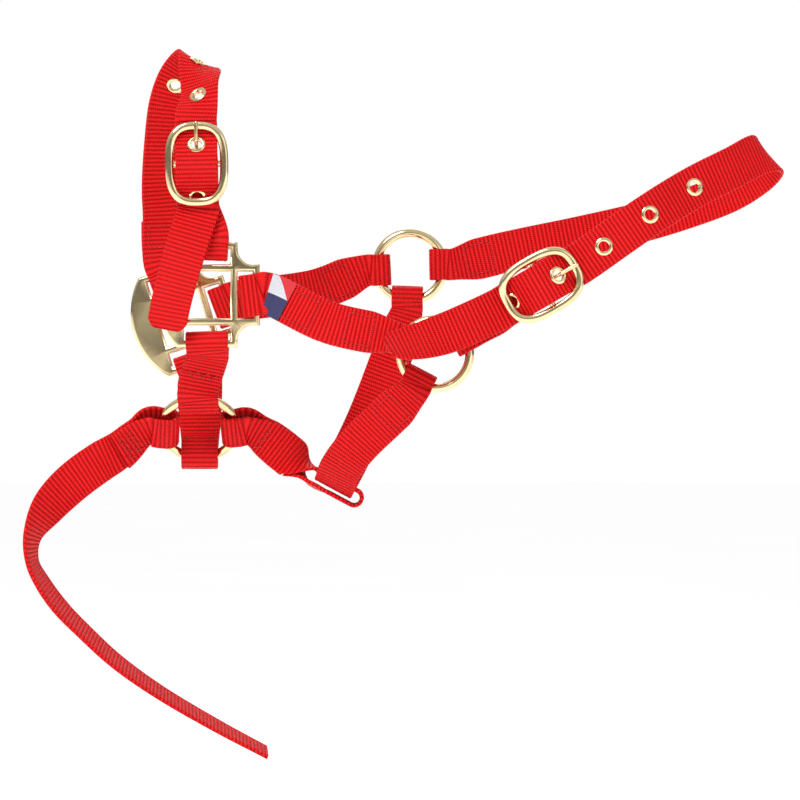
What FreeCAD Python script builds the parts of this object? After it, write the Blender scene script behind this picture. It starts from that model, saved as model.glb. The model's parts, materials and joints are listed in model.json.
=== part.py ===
"""Foal halter of flat nylon webbing with cast squares, rings and centre-bar buckles.

Millimetres, +Z up.  +X runs from the nose towards the poll, -Y is the horse's near (left)
side, and the origin is on the inner face of the crown where it rests behind the ears.
"""
import FreeCAD, Part
import math
import os

V = FreeCAD.Vector
SIDE = V(0, 1, 0)

doc = FreeCAD.newDocument("foal_halter")
sheet = doc.addObject("Spreadsheet::Sheet", "sizes")

# alias, value in mm, what it is
SIZES = [
    ("halter_length", 350, "nose to poll, along X"),
    ("halter_height", 320, "grab strap's end to the top of the noseband, along Z"),
    ("halter_spread", 84, "near jaw ring to far jaw ring, along Y"),
    ("webbing_width", 19, "all straps"),
    ("webbing_ply", 2.0, "one thickness of webbing"),
    ("ply_gap", 0.1, "between two sewn plies"),
    ("fit_gap", 0.3, "webbing or wire to the metal it goes round"),
    ("rock_gap", 0.7, "webbing to the buckle rim that rocks over it"),
    ("loop_slack", 1.2, "extra room in the loops that swing"),
    ("jaw_ring_radius", 15.5, "to the middle of the wire"),
    ("jaw_ring_wire", 4.0, "wire diameter"),
    ("chin_ring_radius", 17.0, "to the middle of the wire"),
    ("chin_ring_wire", 4.0, "wire diameter"),
    ("ring_gather", 0.76, "webbing's width where it bunches round a jaw ring"),
    ("square_bar", 3.2, "bars of the halter squares"),
    ("square_thickness", 3.2, "depth of the castings"),
    ("square_arm", 10.0, "window bar to slot bar, middle to middle"),
    ("square_bow", 9.5, "how far the front plate bows out"),
    ("square_web", 7.0, "radius of the webs between the arms"),
    ("side_gap", 1.0, "webbing's edge to the casting beside it"),
    ("buckle_length", 38.0, "along the strap"),
    ("buckle_rim", 3.7, "width of the frame's band"),
    ("buckle_thickness", 3.0, "depth of the frame"),
    ("buckle_corner", 9.8, "outer corner radius"),
    ("buckle_bar", 3.0, "centre bar's diameter"),
    ("bar_setback", 2.4, "centre bar's middle behind the frame's middle"),
    ("tongue_wire", 1.7, "tongue's diameter"),
    ("eyelet_outer", 8.0, "flange diameter"),
    ("eyelet_hole", 5.0, "hole diameter"),
    ("eyelet_flange", 0.45, "flange thickness"),
    ("eyelet_wall", 0.4, "barrel's wall"),
    ("eyelet_dish", 0.06, "how deep a flange presses into the webbing"),
    ("hole_pitch", 25.4, "eyelet to eyelet"),
    ("tongue_reach", 8.4, "centre bar to the eyelet in use"),
    ("seam_lap", 24.0, "length of a turned-back end"),
    ("tag_width", 10.0, "woven tag, along the cheek strap"),
    ("tag_ply", 0.5, "woven tag's folded thickness"),
]
for row, (alias, value, note) in enumerate(SIZES, start=1):
    sheet.set("A%d" % row, note)
    sheet.set("B%d" % row, str(value))
    sheet.setAlias("B%d" % row, alias)
doc.recompute()


def size(alias):
    """The sheet's present value of one size."""
    return float(sheet.get(alias))


WIDTH = size("webbing_width")
PLY = size("webbing_ply")
FIT = size("fit_gap")
SEWN = (PLY + size("ply_gap")) / 2
STRETCH = V(size("halter_length") / 350, size("halter_spread") / 84, size("halter_height") / 320)


def place(x, y, z):
    """A point of the halter's layout, stretched to the overall sizes."""
    return V(x * STRETCH.x, y * STRETCH.y, z * STRETCH.z)


def unit(vector):
    return V(vector).normalize()


# ---------------------------------------------------------------- where the hardware sits
NEAR_SQUARE = place(-253.2, -30, -62.7)
FAR_SQUARE = place(-266.3, 30, -72.7)
NEAR_RING = place(-150.7, -42, -89.3)
FAR_RING = place(-161.8, 42, -48.6)
CHIN_RING = place(-257.7, 0, -122.7)
NOSE_BUCKLE = place(-257.7, -36.0, -3.9)
CROWN_BUCKLE = place(-103.2, -48.0, -58.6)
THROAT_LOW = place(-196.6, 0, -149.3)

FAR_SQUARE_TURN = 17
CHIN_RING_LEAN = 38


def in_plane(angle):
    """Direction in the XZ plane, in degrees up from +X."""
    return V(math.cos(math.radians(angle)), 0, math.sin(math.radians(angle)))


def axes_of(along, across):
    """Placement rotation that takes local Z to along and local X to across."""
    return FreeCAD.Rotation(unit(across), V(0, 0, 0), unit(along), "ZXY")


NEAR_TURN = FreeCAD.Rotation(SIDE, 0)
FAR_TURN = FreeCAD.Rotation(SIDE, -FAR_SQUARE_TURN)
NOSE_ALONG = in_plane(91)
CROWN_ALONG = in_plane(30)
CHIN_UP = V(0, -math.sin(math.radians(CHIN_RING_LEAN)), math.cos(math.radians(CHIN_RING_LEAN)))
CHIN_AXIS = V(0, math.cos(math.radians(CHIN_RING_LEAN)), math.sin(math.radians(CHIN_RING_LEAN)))


# ---------------------------------------------------------------- webbing
def ease(share):
    """Smooth step from 0 to 1."""
    share = min(max(share, 0.0), 1.0)
    return share * share * (3 - 2 * share)


class Eye:
    """A turned-back strap end that holds a wire, a bar or another strap."""

    TAPER = 9.0

    def __init__(self, hold, slack=1.0, clear=0.0, width=1.0):
        self.spread = hold + FIT + PLY / 2
        self.slack = slack
        self.clear = clear
        self.lap = size("seam_lap")
        self.width = width

    def separation(self, along):
        """Half the distance between the plies' middles, along from the held wire's middle."""
        return self.spread + (SEWN - self.spread) * ease((along - self.clear) / self.TAPER)


def ring_eye(radius, wire, gather, loose=0.0):
    """An eye round a ring's wire, deep enough for the wire's curve across the strap."""
    half = WIDTH * gather / 2
    dip = radius - math.sqrt((radius - wire / 2) ** 2 - half ** 2)
    return Eye(wire / 2 + loose, slack=dip - wire / 2 + FIT, clear=wire / 2 + 1.0, width=gather)


def bar_eye(bar, slack=1.5):
    return Eye(bar * 0.6, slack=slack, clear=bar / 2)


def blend_points(before, start, end, after, share):
    """Catmull-Rom curve from start to end."""
    a = (end - before) * 0.5
    b = (after - start) * 0.5
    s2, s3 = share ** 2, share ** 3
    return (start * (2 * s3 - 3 * s2 + 1) + a * (s3 - 2 * s2 + share)
            + end * (3 * s2 - 2 * s3) + b * (s3 - s2))


class Route:
    """A strap's middle line: hand-placed points, each with the direction of its width."""

    FINE = 24

    def __init__(self, stations):
        points = [p for p, _ in stations]
        widths = [unit(w) for _, w in stations]
        self.points, self.widths = [], []
        for index in range(len(points) - 1):
            before = points[index - 1] if index else points[0] * 2 - points[1]
            after = points[index + 2] if index + 2 < len(points) else points[-1] * 2 - points[-2]
            w_before = widths[index - 1] if index else widths[0]
            w_after = widths[index + 2] if index + 2 < len(points) else widths[-1]
            for step in range(self.FINE):
                share = step / self.FINE
                self.points.append(blend_points(before, points[index], points[index + 1], after, share))
                self.widths.append(blend_points(w_before, widths[index], widths[index + 1], w_after, share))
        self.points.append(points[-1])
        self.widths.append(widths[-1])
        self.at = [0.0]
        for first, second in zip(self.points, self.points[1:]):
            self.at.append(self.at[-1] + (second - first).Length)
        self.length = self.at[-1]

    def frame(self, along):
        """Point, direction, width direction and outer face's normal, along from the start."""
        inside = min(max(along, 0.0), self.length)
        index = 0
        while index < len(self.at) - 2 and self.at[index + 1] < inside:
            index += 1
        share = (inside - self.at[index]) / (self.at[index + 1] - self.at[index])
        point = self.points[index] * (1 - share) + self.points[index + 1] * share
        low, high = max(index - 1, 0), min(index + 2, len(self.points) - 1)
        tangent = unit(self.points[high] - self.points[low])
        width = self.widths[index] * (1 - share) + self.widths[index + 1] * share
        width = unit(width - tangent * width.dot(tangent))
        point = point + tangent * (along - inside)
        return point, tangent, width, width.cross(tangent)

    def nearest(self, target):
        """Distance along the line of its nearest point to target."""
        best = min(range(len(self.points)), key=lambda i: (self.points[i] - target).Length)
        return self.at[best]


class Strap:
    """One piece of webbing along a route, turned back through an eye at either end."""

    STEP = 5.0
    EYE_STEP = 2.0
    EYE_ZONE = 13.0
    FOLD_STEPS = 6
    FADE = 12.0
    SHARP_BEND = math.radians(12)
    CLOSEST = 0.2
    TIP_WIDTH = 0.55

    def __init__(self, stations, start=None, end=None, whole=False, tip=0.0):
        self.route = Route(stations)
        self.start, self.end, self.tip = start, end, tip
        length = self.route.length
        if whole:
            start.lap = end.lap = length / 2 - FIT
        self.whole = whole

    def offset(self, along):
        """How far the outer ply's middle stands off the middle line."""
        rise = 0.0
        for eye, distance in ((self.start, along), (self.end, self.route.length - along)):
            if eye:
                fade = 1.0 if self.whole else ease((eye.lap + self.FADE - distance) / self.FADE)
                rise = max(rise, eye.separation(distance) * fade)
        return rise

    def width_at(self, along):
        share = 1.0
        for eye, distance in ((self.start, along), (self.end, self.route.length - along)):
            if eye and eye.width < 1:
                spread = min(max((distance - eye.clear) / self.FADE, 0), 1)
                share = min(share, eye.width + (1 - eye.width) * spread)
        if self.tip and self.route.length - along < self.tip:
            left = (self.route.length - along) / self.tip
            share = min(share, self.TIP_WIDTH + (1 - self.TIP_WIDTH) * math.sqrt(max(left, 0)))
        return WIDTH * share

    def outer(self, along):
        """Middle of the outer ply, with its direction, width direction and normal."""
        point, tangent, width, normal = self.route.frame(along)
        return point + normal * self.offset(along), tangent, width, normal

    def steps(self, first, last):
        """Distances from first to last: close together near the eyes."""
        result = [first]
        while True:
            here = result[-1]
            near = min(d for eye, d in ((self.start, here), (self.end, self.route.length - here)) if eye)
            stride = self.EYE_STEP if near < self.EYE_ZONE or self.bends_at(here) else self.STEP
            if here + stride * 1.4 >= last:
                break
            result.append(here + stride)
        result.append(last)
        return result

    def bends_at(self, along):
        """True where the middle line turns sharply."""
        before = self.route.frame(along - self.EYE_STEP)[1]
        after = self.route.frame(along + 2 * self.EYE_STEP)[1]
        return before.getAngle(after) > self.SHARP_BEND

    def sections(self):
        """(middle, width direction, outward direction, width) of each cross-section."""
        route, result = self.route, []

        def straight(distances, side, eye):
            for along in distances:
                point, _, width, normal = route.frame(along)
                rise = eye.separation(along if eye is self.start else route.length - along) \
                    if side < 0 else self.offset(along)
                result.append((point + normal * side * rise, width, normal * side, self.width_at(along)))

        def fold(eye, along, away, turns):
            point, _, width, normal = route.frame(along)
            middle = point + away * eye.slack
            for turn in turns:
                outward = away * math.cos(turn) + normal * math.sin(turn)
                result.append((middle + outward * eye.spread, width, outward, WIDTH * eye.width))

        quarter = [math.pi / 2 * (2 * k / self.FOLD_STEPS - 1) for k in range(self.FOLD_STEPS + 1)]
        if self.start:
            straight(reversed(self.steps(0.0, self.start.lap)), -1, self.start)
            fold(self.start, 0.0, -route.frame(0.0)[1], quarter)
        straight(self.steps(0.0, route.length), 1, None)
        if self.end:
            fold(self.end, route.length, route.frame(route.length)[1], quarter[::-1])
            back = [route.length - d for d in self.steps(0.0, self.end.lap)]
            straight(back, -1, self.end)
        apart = [result[0]]
        for section in result[1:]:
            if (section[0] - apart[-1][0]).Length > self.CLOSEST:
                apart.append(section)
        return apart

    def solid(self):
        wires = []
        for middle, width, outward, across in self.sections():
            side, thick = width * (across / 2), outward * (PLY / 2)
            corners = [middle + side + thick, middle - side + thick,
                       middle - side - thick, middle + side - thick]
            wires.append(Part.makePolygon(corners + corners[:1]))
        return Part.makeLoft(wires, True, True)


def eyelet(strap, along):
    """A two-part eyelet set in the outer ply: a barrel with a flange on each face."""
    point, _, _, normal = strap.outer(along)
    bore = size("eyelet_hole") / 2
    flange = size("eyelet_flange")
    barrel = bore + size("eyelet_wall")
    reach = PLY / 2 + flange
    body = Part.makeCylinder(barrel, 2 * reach, point - normal * reach, normal)
    for side in (1, -1):
        rim = Part.makeCylinder(size("eyelet_outer") / 2, flange, point + normal * side * PLY / 2, normal * side)
        body = body.fuse(rim)
    body = body.cut(Part.makeCylinder(bore, 4 * reach, point - normal * 2 * reach, normal))
    return body.removeSplitter()


def feature(label, shape, placement=FreeCAD.Placement()):
    """Put a finished shape in the document under its name."""
    made = doc.addObject("Part::Feature", label)
    made.Label = label
    made.Shape = shape
    made.Placement = placement
    return made


# ---------------------------------------------------------------- castings
def plane_of(body, role):
    return [f for f in body.Origin.OriginFeatures if f.Role == role][0]


def sketch_on(body, name, role="XZ_Plane"):
    made = body.newObject("Sketcher::SketchObject", name)
    made.AttachmentSupport = [(plane_of(body, role), "")]
    made.MapMode = "FlatFace"
    return made


def outline(sketch, corners):
    """Closed run of lines through corners, an arc where a corner carries a middle point."""
    for index, corner in enumerate(corners):
        nxt = corners[(index + 1) % len(corners)]
        start, end = V(corner[0], corner[1], 0), V(nxt[0], nxt[1], 0)
        if len(corner) == 4:
            sketch.addGeometry(Part.Arc(start, V(corner[2], corner[3], 0), end), False)
        else:
            sketch.addGeometry(Part.LineSegment(start, end), False)


def pad(body, sketch, name, depth):
    made = body.newObject("PartDesign::Pad", name)
    made.Profile = sketch
    made.Midplane = True
    made.setExpression("Length", depth)
    return made


def pocket(body, sketch, name, depth):
    made = body.newObject("PartDesign::Pocket", name)
    made.Profile = sketch
    made.Midplane = True
    made.setExpression("Length", depth)
    return made


def soften(body, base, label, radius):
    """Round every edge of a flat casting's front and back faces."""
    doc.recompute()
    rims = ["Edge%d" % (index + 1) for index, edge in enumerate(base.Shape.Edges)
            if edge.BoundBox.YLength < 1e-6]
    rounding = body.newObject("PartDesign::Fillet", label + "_rounding")
    rounding.Base = (base, rims)
    rounding.setExpression("Radius", radius)


def rectangle(sketch, low_x, low_z, high_x, high_z):
    outline(sketch, [(low_x, low_z), (high_x, low_z), (high_x, high_z), (low_x, high_z)])


WINDOW = WIDTH / 2 + size("side_gap")
BAR = size("square_bar")
ARM = size("square_arm")
SLOT_BAR = WINDOW + BAR / 2 + ARM


def halter_square(label, centre, turn):
    """Square casting: a window, a slot above, behind and below it, and a bowed front plate."""
    body = doc.addObject("PartDesign::Body", label)
    body.Label = label
    rim = WINDOW + BAR
    tip = SLOT_BAR + BAR / 2
    web = size("square_web")
    bend = web * (1 - math.sqrt(0.5))
    shape = sketch_on(body, label + "_outline")
    outline(shape, [
        (-rim, tip), (rim, tip), (rim, rim + web, rim + bend, rim + bend), (rim + web, rim), (tip, rim),
        (tip, -rim), (rim + web, -rim, rim + bend, -rim - bend), (rim, -rim - web), (rim, -tip),
        (-rim, -tip, -rim - size("square_bow"), 0)])
    pad(body, shape, label + "_plate", "sizes.square_thickness")
    gap_low, gap_high = rim, tip - BAR
    openings = sketch_on(body, label + "_openings")
    rectangle(openings, -WINDOW, -WINDOW, WINDOW, WINDOW)
    rectangle(openings, -WINDOW, gap_low, WINDOW, gap_high)
    rectangle(openings, -WINDOW, -gap_high, WINDOW, -gap_low)
    rectangle(openings, gap_low, -WINDOW, gap_high, WINDOW)
    cut = pocket(body, openings, label + "_slots", "sizes.square_thickness * 2")
    soften(body, cut, label, "sizes.square_thickness * 0.36")
    body.Placement = FreeCAD.Placement(centre, turn)
    return body


BUCKLE_HALF = WIDTH / 2 + size("side_gap") + size("buckle_rim")
BAR_BACK = size("bar_setback")


def buckle_frame(label, centre, turn):
    """Rounded frame with a centre bar set back towards the chape."""
    body = doc.addObject("PartDesign::Body", label)
    body.Label = label
    half_x, half_z = BUCKLE_HALF, size("buckle_length") / 2
    rim = size("buckle_rim")

    def rounded(sketch, x, z, radius):
        bend = radius * (1 - math.sqrt(0.5))
        outline(sketch, [
            (-x + radius, -z), (x - radius, -z, x - bend, -z + bend),
            (x, -z + radius), (x, z - radius, x - bend, z - bend),
            (x - radius, z), (-x + radius, z, -x + bend, z - bend),
            (-x, z - radius), (-x, -z + radius, -x + bend, -z + bend)])

    outer = sketch_on(body, label + "_outline")
    rounded(outer, half_x, half_z, size("buckle_corner"))
    pad(body, outer, label + "_plate", "sizes.buckle_thickness")
    inner = sketch_on(body, label + "_opening")
    rounded(inner, half_x - rim, half_z - rim, size("buckle_corner") - rim)
    cut = pocket(body, inner, label + "_inside", "sizes.buckle_thickness * 2")
    soften(body, cut, label, "sizes.buckle_thickness * 0.36")
    bar = sketch_on(body, label + "_bar_end", "YZ_Plane")
    bar.addGeometry(Part.Circle(V(BAR_BACK, 0, 0), V(0, 0, 1), size("buckle_bar") / 2), False)
    bar_pad = body.newObject("PartDesign::Pad", label + "_bar")
    bar_pad.Profile = bar
    bar_pad.Midplane = True
    bar_pad.Length = 2 * half_x - rim
    body.Placement = FreeCAD.Placement(centre, turn)
    return body


def tongue(label, centre, turn):
    """Cranked tongue: an eye rolled round the bar, a step up through the eyelet, a resting tip."""
    wire = size("tongue_wire")
    rest = size("buckle_thickness") / 2 + FIT + wire / 2
    hole = size("tongue_reach")
    tip = size("buckle_length") / 2 - size("buckle_rim") * 0.2
    bends = [V(0, BAR_BACK, 0), V(0, BAR_BACK - 0.9, hole - 1.6), V(0, -rest, hole + 2.1), V(0, -rest, tip)]
    pieces = []
    for index, (start, end) in enumerate(zip(bends, bends[1:]), start=1):
        run = doc.addObject("Part::Cylinder", "%s_run_%d" % (label, index))
        run.setExpression("Radius", "sizes.tongue_wire / 2")
        run.Height = (end - start).Length
        run.Placement = FreeCAD.Placement(start, FreeCAD.Rotation(V(0, 0, 1), end - start))
        bend = doc.addObject("Part::Sphere", "%s_bend_%d" % (label, index))
        bend.setExpression("Radius", "sizes.tongue_wire / 2")
        bend.Placement = FreeCAD.Placement(end, FreeCAD.Rotation())
        pieces += [run, bend]
    eye = doc.addObject("Part::Cylinder", label + "_eye")
    eye.setExpression("Radius", "sizes.buckle_bar / 2 + 0.1 + sizes.tongue_wire * 0.7")
    eye.setExpression("Height", "sizes.tongue_wire * 1.3")
    eye.Placement = FreeCAD.Placement(V(-wire * 0.65, BAR_BACK, 0), FreeCAD.Rotation(V(0, 1, 0), 90))
    joined = doc.addObject("Part::MultiFuse", label + "_blank")
    joined.Shapes = [eye] + pieces
    bore = doc.addObject("Part::Cylinder", label + "_bore")
    bore.setExpression("Radius", "sizes.buckle_bar / 2 + 0.1")
    bore.setExpression("Height", "sizes.tongue_wire * 4")
    bore.Placement = FreeCAD.Placement(V(-wire * 2, BAR_BACK, 0), FreeCAD.Rotation(V(0, 1, 0), 90))
    made = doc.addObject("Part::Cut", label)
    made.Base = joined
    made.Tool = bore
    made.Label = label
    made.Placement = FreeCAD.Placement(centre, turn)
    return made


def ring(label, centre, axis, radius, wire):
    made = doc.addObject("Part::Torus", label)
    made.Label = label
    made.setExpression("Radius1", "sizes." + radius)
    made.setExpression("Radius2", "sizes.%s / 2" % wire)
    made.Placement = FreeCAD.Placement(centre, FreeCAD.Rotation(V(0, 0, 1), axis))
    return made


nodes = [
    halter_square("near_halter_square", NEAR_SQUARE, NEAR_TURN),
    halter_square("far_halter_square", FAR_SQUARE, FAR_TURN),
    ring("near_jaw_ring", NEAR_RING, SIDE, "jaw_ring_radius", "jaw_ring_wire"),
    ring("far_jaw_ring", FAR_RING, SIDE, "jaw_ring_radius", "jaw_ring_wire"),
    ring("chin_ring", CHIN_RING, CHIN_AXIS, "chin_ring_radius", "chin_ring_wire"),
]
NOSE_TURN = axes_of(NOSE_ALONG, SIDE.cross(NOSE_ALONG))
CROWN_TURN = axes_of(CROWN_ALONG, SIDE.cross(CROWN_ALONG))
for label, centre, turn in (("noseband_buckle", NOSE_BUCKLE, NOSE_TURN),
                            ("crown_buckle", CROWN_BUCKLE, CROWN_TURN)):
    nodes.append(buckle_frame(label + "_frame", centre, turn))
    nodes.append(tongue(label + "_tongue", centre, turn))


# ---------------------------------------------------------------- strap routes
def at_square(centre, turn, x, z):
    """A point on a slot bar, in the square's own axes, with the bar's direction."""
    return centre + turn.multVec(V(x, 0, z))


def billet_stations(centre, along, depths):
    """Stations through a buckle: (distance towards the tongue's tip, height over the frame)."""
    across = SIDE.cross(along)
    return [(centre + along * u - SIDE * d, across) for u, d in depths]


def through_buckle():
    """Under the far rim, over the bar and its fold, and under the near rim."""
    under = -(size("buckle_thickness") / 2 + size("rock_gap") + PLY / 2)
    lower = under - size("eyelet_flange")
    fold = -BAR_BACK + size("buckle_bar") * 0.6 + FIT + PLY
    over = fold + size("ply_gap") * 2 + PLY / 2
    rim = size("buckle_length") / 2 - size("buckle_rim") / 2
    inner = rim - size("buckle_rim") / 2
    hole = size("tongue_reach")
    flat = size("eyelet_outer") / 2
    above = [(rim + 5, under - 0.2), (inner + 0.2, under), (hole + flat, -1.95),
             (hole, 0.0), (hole - flat, 1.75)]
    below = [(-4, over - 0.5), (-8, 0.6), (-11.5, -1.9), (-inner, lower), (-rim - 4, lower)]
    return above + [(0, over)] + below


def chape_stations(root_start, centre, along):
    """From the held bar or ring to the buckle's bar, passing low under the near rim."""
    across = SIDE.cross(along)
    bar = centre + SIDE * BAR_BACK
    rim = size("buckle_length") / 2 - size("buckle_rim") / 2
    low = (size("buckle_thickness") / 2 + size("rock_gap") + FIT + 2 * size("eyelet_flange")
           + PLY + size("ply_gap") * 2 + SEWN + PLY / 2)
    return root_start + [(centre - along * (rim + 2) + SIDE * (low + 0.3), across),
                         (centre - along * (rim - 5) + SIDE * low, across),
                         (bar - along * 5.5 + SIDE * 1.2, across),
                         (bar, across)]


X = V(1, 0, 0)
NEAR_TOP = at_square(NEAR_SQUARE, NEAR_TURN, 0, SLOT_BAR)
FAR_TOP = at_square(FAR_SQUARE, FAR_TURN, 0, SLOT_BAR)
NEAR_BACK = at_square(NEAR_SQUARE, NEAR_TURN, SLOT_BAR, 0)
FAR_BACK = at_square(FAR_SQUARE, FAR_TURN, SLOT_BAR, 0)
NEAR_LOW = at_square(NEAR_SQUARE, NEAR_TURN, 0, -SLOT_BAR)
FAR_LOW = at_square(FAR_SQUARE, FAR_TURN, 0, -SLOT_BAR)
FAR_RIGHT = FAR_TURN.multVec(X)

JAW = size("jaw_ring_radius")
JAW_WIRE = size("jaw_ring_wire")
CHIN = size("chin_ring_radius")
CHIN_WIRE = size("chin_ring_wire")
GATHER = size("ring_gather")


def jaw_eye():
    return ring_eye(JAW, JAW_WIRE, GATHER)


def off_ring(centre, radius, away, flat=7.0):
    """First two stations of a strap that leaves a ring straight out along away."""
    across = SIDE.cross(away)
    return [(centre + away * radius, across), (centre + away * (radius + flat), across)]


def onto_ring(centre, radius, away):
    """Last two stations of a strap that arrives at a ring, same face outwards."""
    return [(point, -width) for point, width in off_ring(centre, radius, away)[::-1]]


# noseband: far square, over the nose, down through the near buckle
NOSE_IN = V(0.92, 0.38, 0)
NOSE_OUT = V(0.82, -0.57, 0)
noseband = Strap(
    [(FAR_TOP, FAR_RIGHT),
     (FAR_TOP + FAR_TURN.multVec(V(0, 0, 8)), FAR_RIGHT),
     (place(-275.8, 29, -24), NOSE_IN),
     (place(-275.8, 26, -9), NOSE_IN),
     (place(-274.5, 22, 9), NOSE_IN),
     (place(-272, 17, 25), V(0.93, 0.3, -0.2)),
     (place(-267, 10, 37), V(0.88, 0.1, -0.45)),
     (place(-260, -2, 43.5), V(0.86, -0.05, -0.52)),
     (place(-257, -14, 39), V(0.82, -0.4, -0.3)),
     (place(-256.8, -24, 30), NOSE_OUT)]
    + billet_stations(NOSE_BUCKLE, NOSE_ALONG, through_buckle())
    + [(place(-260.6, -36.2, -36), V(0.97, -0.1, -0.2)),
       (place(-264.6, -37.4, -49), V(0.95, -0.2, -0.2)),
       (place(-268.6, -37.6, -64), V(0.93, -0.28, -0.2)),
       (place(-271.6, -38.0, -78.5), V(0.92, -0.33, -0.18))],
    start=bar_eye(BAR, slack=2.5), tip=4.0)

noseband_chape = Strap(
    chape_stations([(NEAR_TOP, X), (NEAR_TOP + V(0, 0, 6), X)], NOSE_BUCKLE, NOSE_ALONG),
    start=bar_eye(BAR, slack=2.5), end=bar_eye(size("buckle_bar"), slack=0.0), whole=True)

# cheeks
NEAR_CHEEK_AWAY = in_plane(159)
near_cheek = Strap(
    [(NEAR_BACK, V(0, 0, -1)), (NEAR_BACK + X * 7, V(-0.1, 0, -1)),
     (place(-199, -36.5, -75.0), V(-0.33, -0.1, -0.94))]
    + onto_ring(NEAR_RING, JAW, NEAR_CHEEK_AWAY),
    start=bar_eye(BAR, slack=3.0), end=jaw_eye(), whole=True)
FAR_CHEEK_AWAY = in_plane(186)
far_cheek = Strap(
    [(FAR_BACK, FAR_TURN.multVec(V(0, 0, -1))),
     (FAR_BACK + FAR_RIGHT * 7, FAR_TURN.multVec(V(0, 0, -1))),
     (place(-206, 36, -59.5), V(0.18, 0, -0.98))]
    + onto_ring(FAR_RING, JAW, FAR_CHEEK_AWAY),
    start=bar_eye(BAR, slack=3.0), end=jaw_eye(), whole=True)

# crown: far ring, over the poll, down through the crown buckle
CROWN_AWAY = in_plane(4)
crown = Strap(
    off_ring(FAR_RING, JAW, CROWN_AWAY)
    + [(place(-112, 41, -40.6), V(0.22, -0.1, -0.97)),
       (place(-84, 39, -34.8), V(0.26, -0.15, -0.96)),
       (place(-56, 35, -28.4), V(0.3, -0.2, -0.93)),
       (place(-33, 29, -21.5), V(0.38, -0.25, -0.89)),
       (place(-15, 20, -14.5), V(0.5, -0.3, -0.81)),
       (place(-3, 9, -6.5), V(0.62, -0.25, -0.74)),
       (place(1.05, -2, -0.5), V(0.66, 0.0, -0.75)),
       (place(-4, -13, 1.2), V(0.6, 0.2, -0.77)),
       (place(-16, -23, -5), V(0.5, 0.2, -0.84)),
       (place(-35, -32, -14.8), V(0.5, 0.1, -0.86)),
       (place(-56.4, -41, -28.2), V(0.52, 0.05, -0.85))]
    + billet_stations(CROWN_BUCKLE, CROWN_ALONG, through_buckle())
    + [(place(-132, -47.6, -74.2), V(0.44, -0.05, -0.89)),
       (place(-145, -50.2, -79.8), V(0.36, -0.15, -0.9)),
       (place(-158, -55.4, -83.8), V(0.3, -0.5, -0.81)),
       (place(-172, -60.0, -86.6), V(0.22, -0.78, -0.58))],
    start=jaw_eye(), tip=4.0)

CHAPE_AWAY = in_plane(31)
crown_chape = Strap(
    chape_stations(off_ring(NEAR_RING, JAW, CHAPE_AWAY, 6.0), CROWN_BUCKLE, CROWN_ALONG),
    start=jaw_eye(), end=bar_eye(size("buckle_bar"), slack=0.0), whole=True)

# throat: far ring, under the throat, near ring
THROAT_WIDTH = V(0.88, 0, -0.47)
FAR_THROAT_AWAY = in_plane(265)
NEAR_THROAT_AWAY = in_plane(238)
throat = Strap(
    [(p, -w) for p, w in off_ring(FAR_RING, JAW, FAR_THROAT_AWAY)]
    + [(place(-171, 39, -92), V(0.97, 0, -0.3)),
       (place(-181, 32, -118), V(0.93, 0, -0.4)),
       (place(-190, 22, -137), V(0.9, 0, -0.44)),
       (THROAT_LOW + V(0.4, 11, 0.7), THROAT_WIDTH),
       (THROAT_LOW, THROAT_WIDTH),
       (THROAT_LOW + V(0.4, -11, 0.7), THROAT_WIDTH),
       (place(-193, -22, -140.5), V(0.86, 0, -0.5)),
       (place(-184, -32, -129), V(0.84, 0, -0.56))]
    + onto_ring(NEAR_RING, JAW, NEAR_THROAT_AWAY),
    start=jaw_eye(), end=jaw_eye())

# chin
near_chin = Strap(
    [(NEAR_LOW, X), (NEAR_LOW + CHIN_UP * -7, X),
     (CHIN_RING + CHIN_UP * (CHIN + 7), X), (CHIN_RING + CHIN_UP * CHIN, X)],
    start=bar_eye(BAR, slack=2.0), end=ring_eye(CHIN, CHIN_WIRE, 0.97), whole=True)
FAR_CHIN_AWAY = unit(V(0, 0.42, 0.91))
FAR_CHIN_END = CHIN_RING - CHIN_UP * (CHIN - 1.0)
far_chin = Strap(
    [(FAR_LOW, FAR_RIGHT), (FAR_LOW + FAR_TURN.multVec(V(0, -1.5, -8)), FAR_RIGHT),
     (FAR_CHIN_END + FAR_CHIN_AWAY * 18, V(0.99, 0, 0.1)),
     (FAR_CHIN_END + FAR_CHIN_AWAY * 8, X), (FAR_CHIN_END, X)],
    start=bar_eye(BAR, slack=2.0),
    end=Eye(CHIN_WIRE / 2 + 1.4, slack=0.6, clear=4.0, width=0.88), whole=True)

LOOP_REACH = WIDTH / 2 + FIT * 2
loop_eye = Eye(PLY / 2 + size("loop_slack"), slack=0.5, clear=2 * LOOP_REACH)
connecting = Strap(
    [(CHIN_RING + X * CHIN, -CHIN_UP), (CHIN_RING + X * (CHIN + 7), -CHIN_UP),
     (place(-219, -0.5, -133.6), V(-0.35, 0.05, -0.95)),
     (THROAT_LOW - THROAT_WIDTH * (LOOP_REACH + 2), -SIDE),
     (THROAT_LOW, -SIDE),
     (THROAT_LOW + THROAT_WIDTH * LOOP_REACH, -SIDE)],
    start=ring_eye(CHIN, CHIN_WIRE, 0.85, loose=FIT), end=loop_eye, whole=True)

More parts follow.
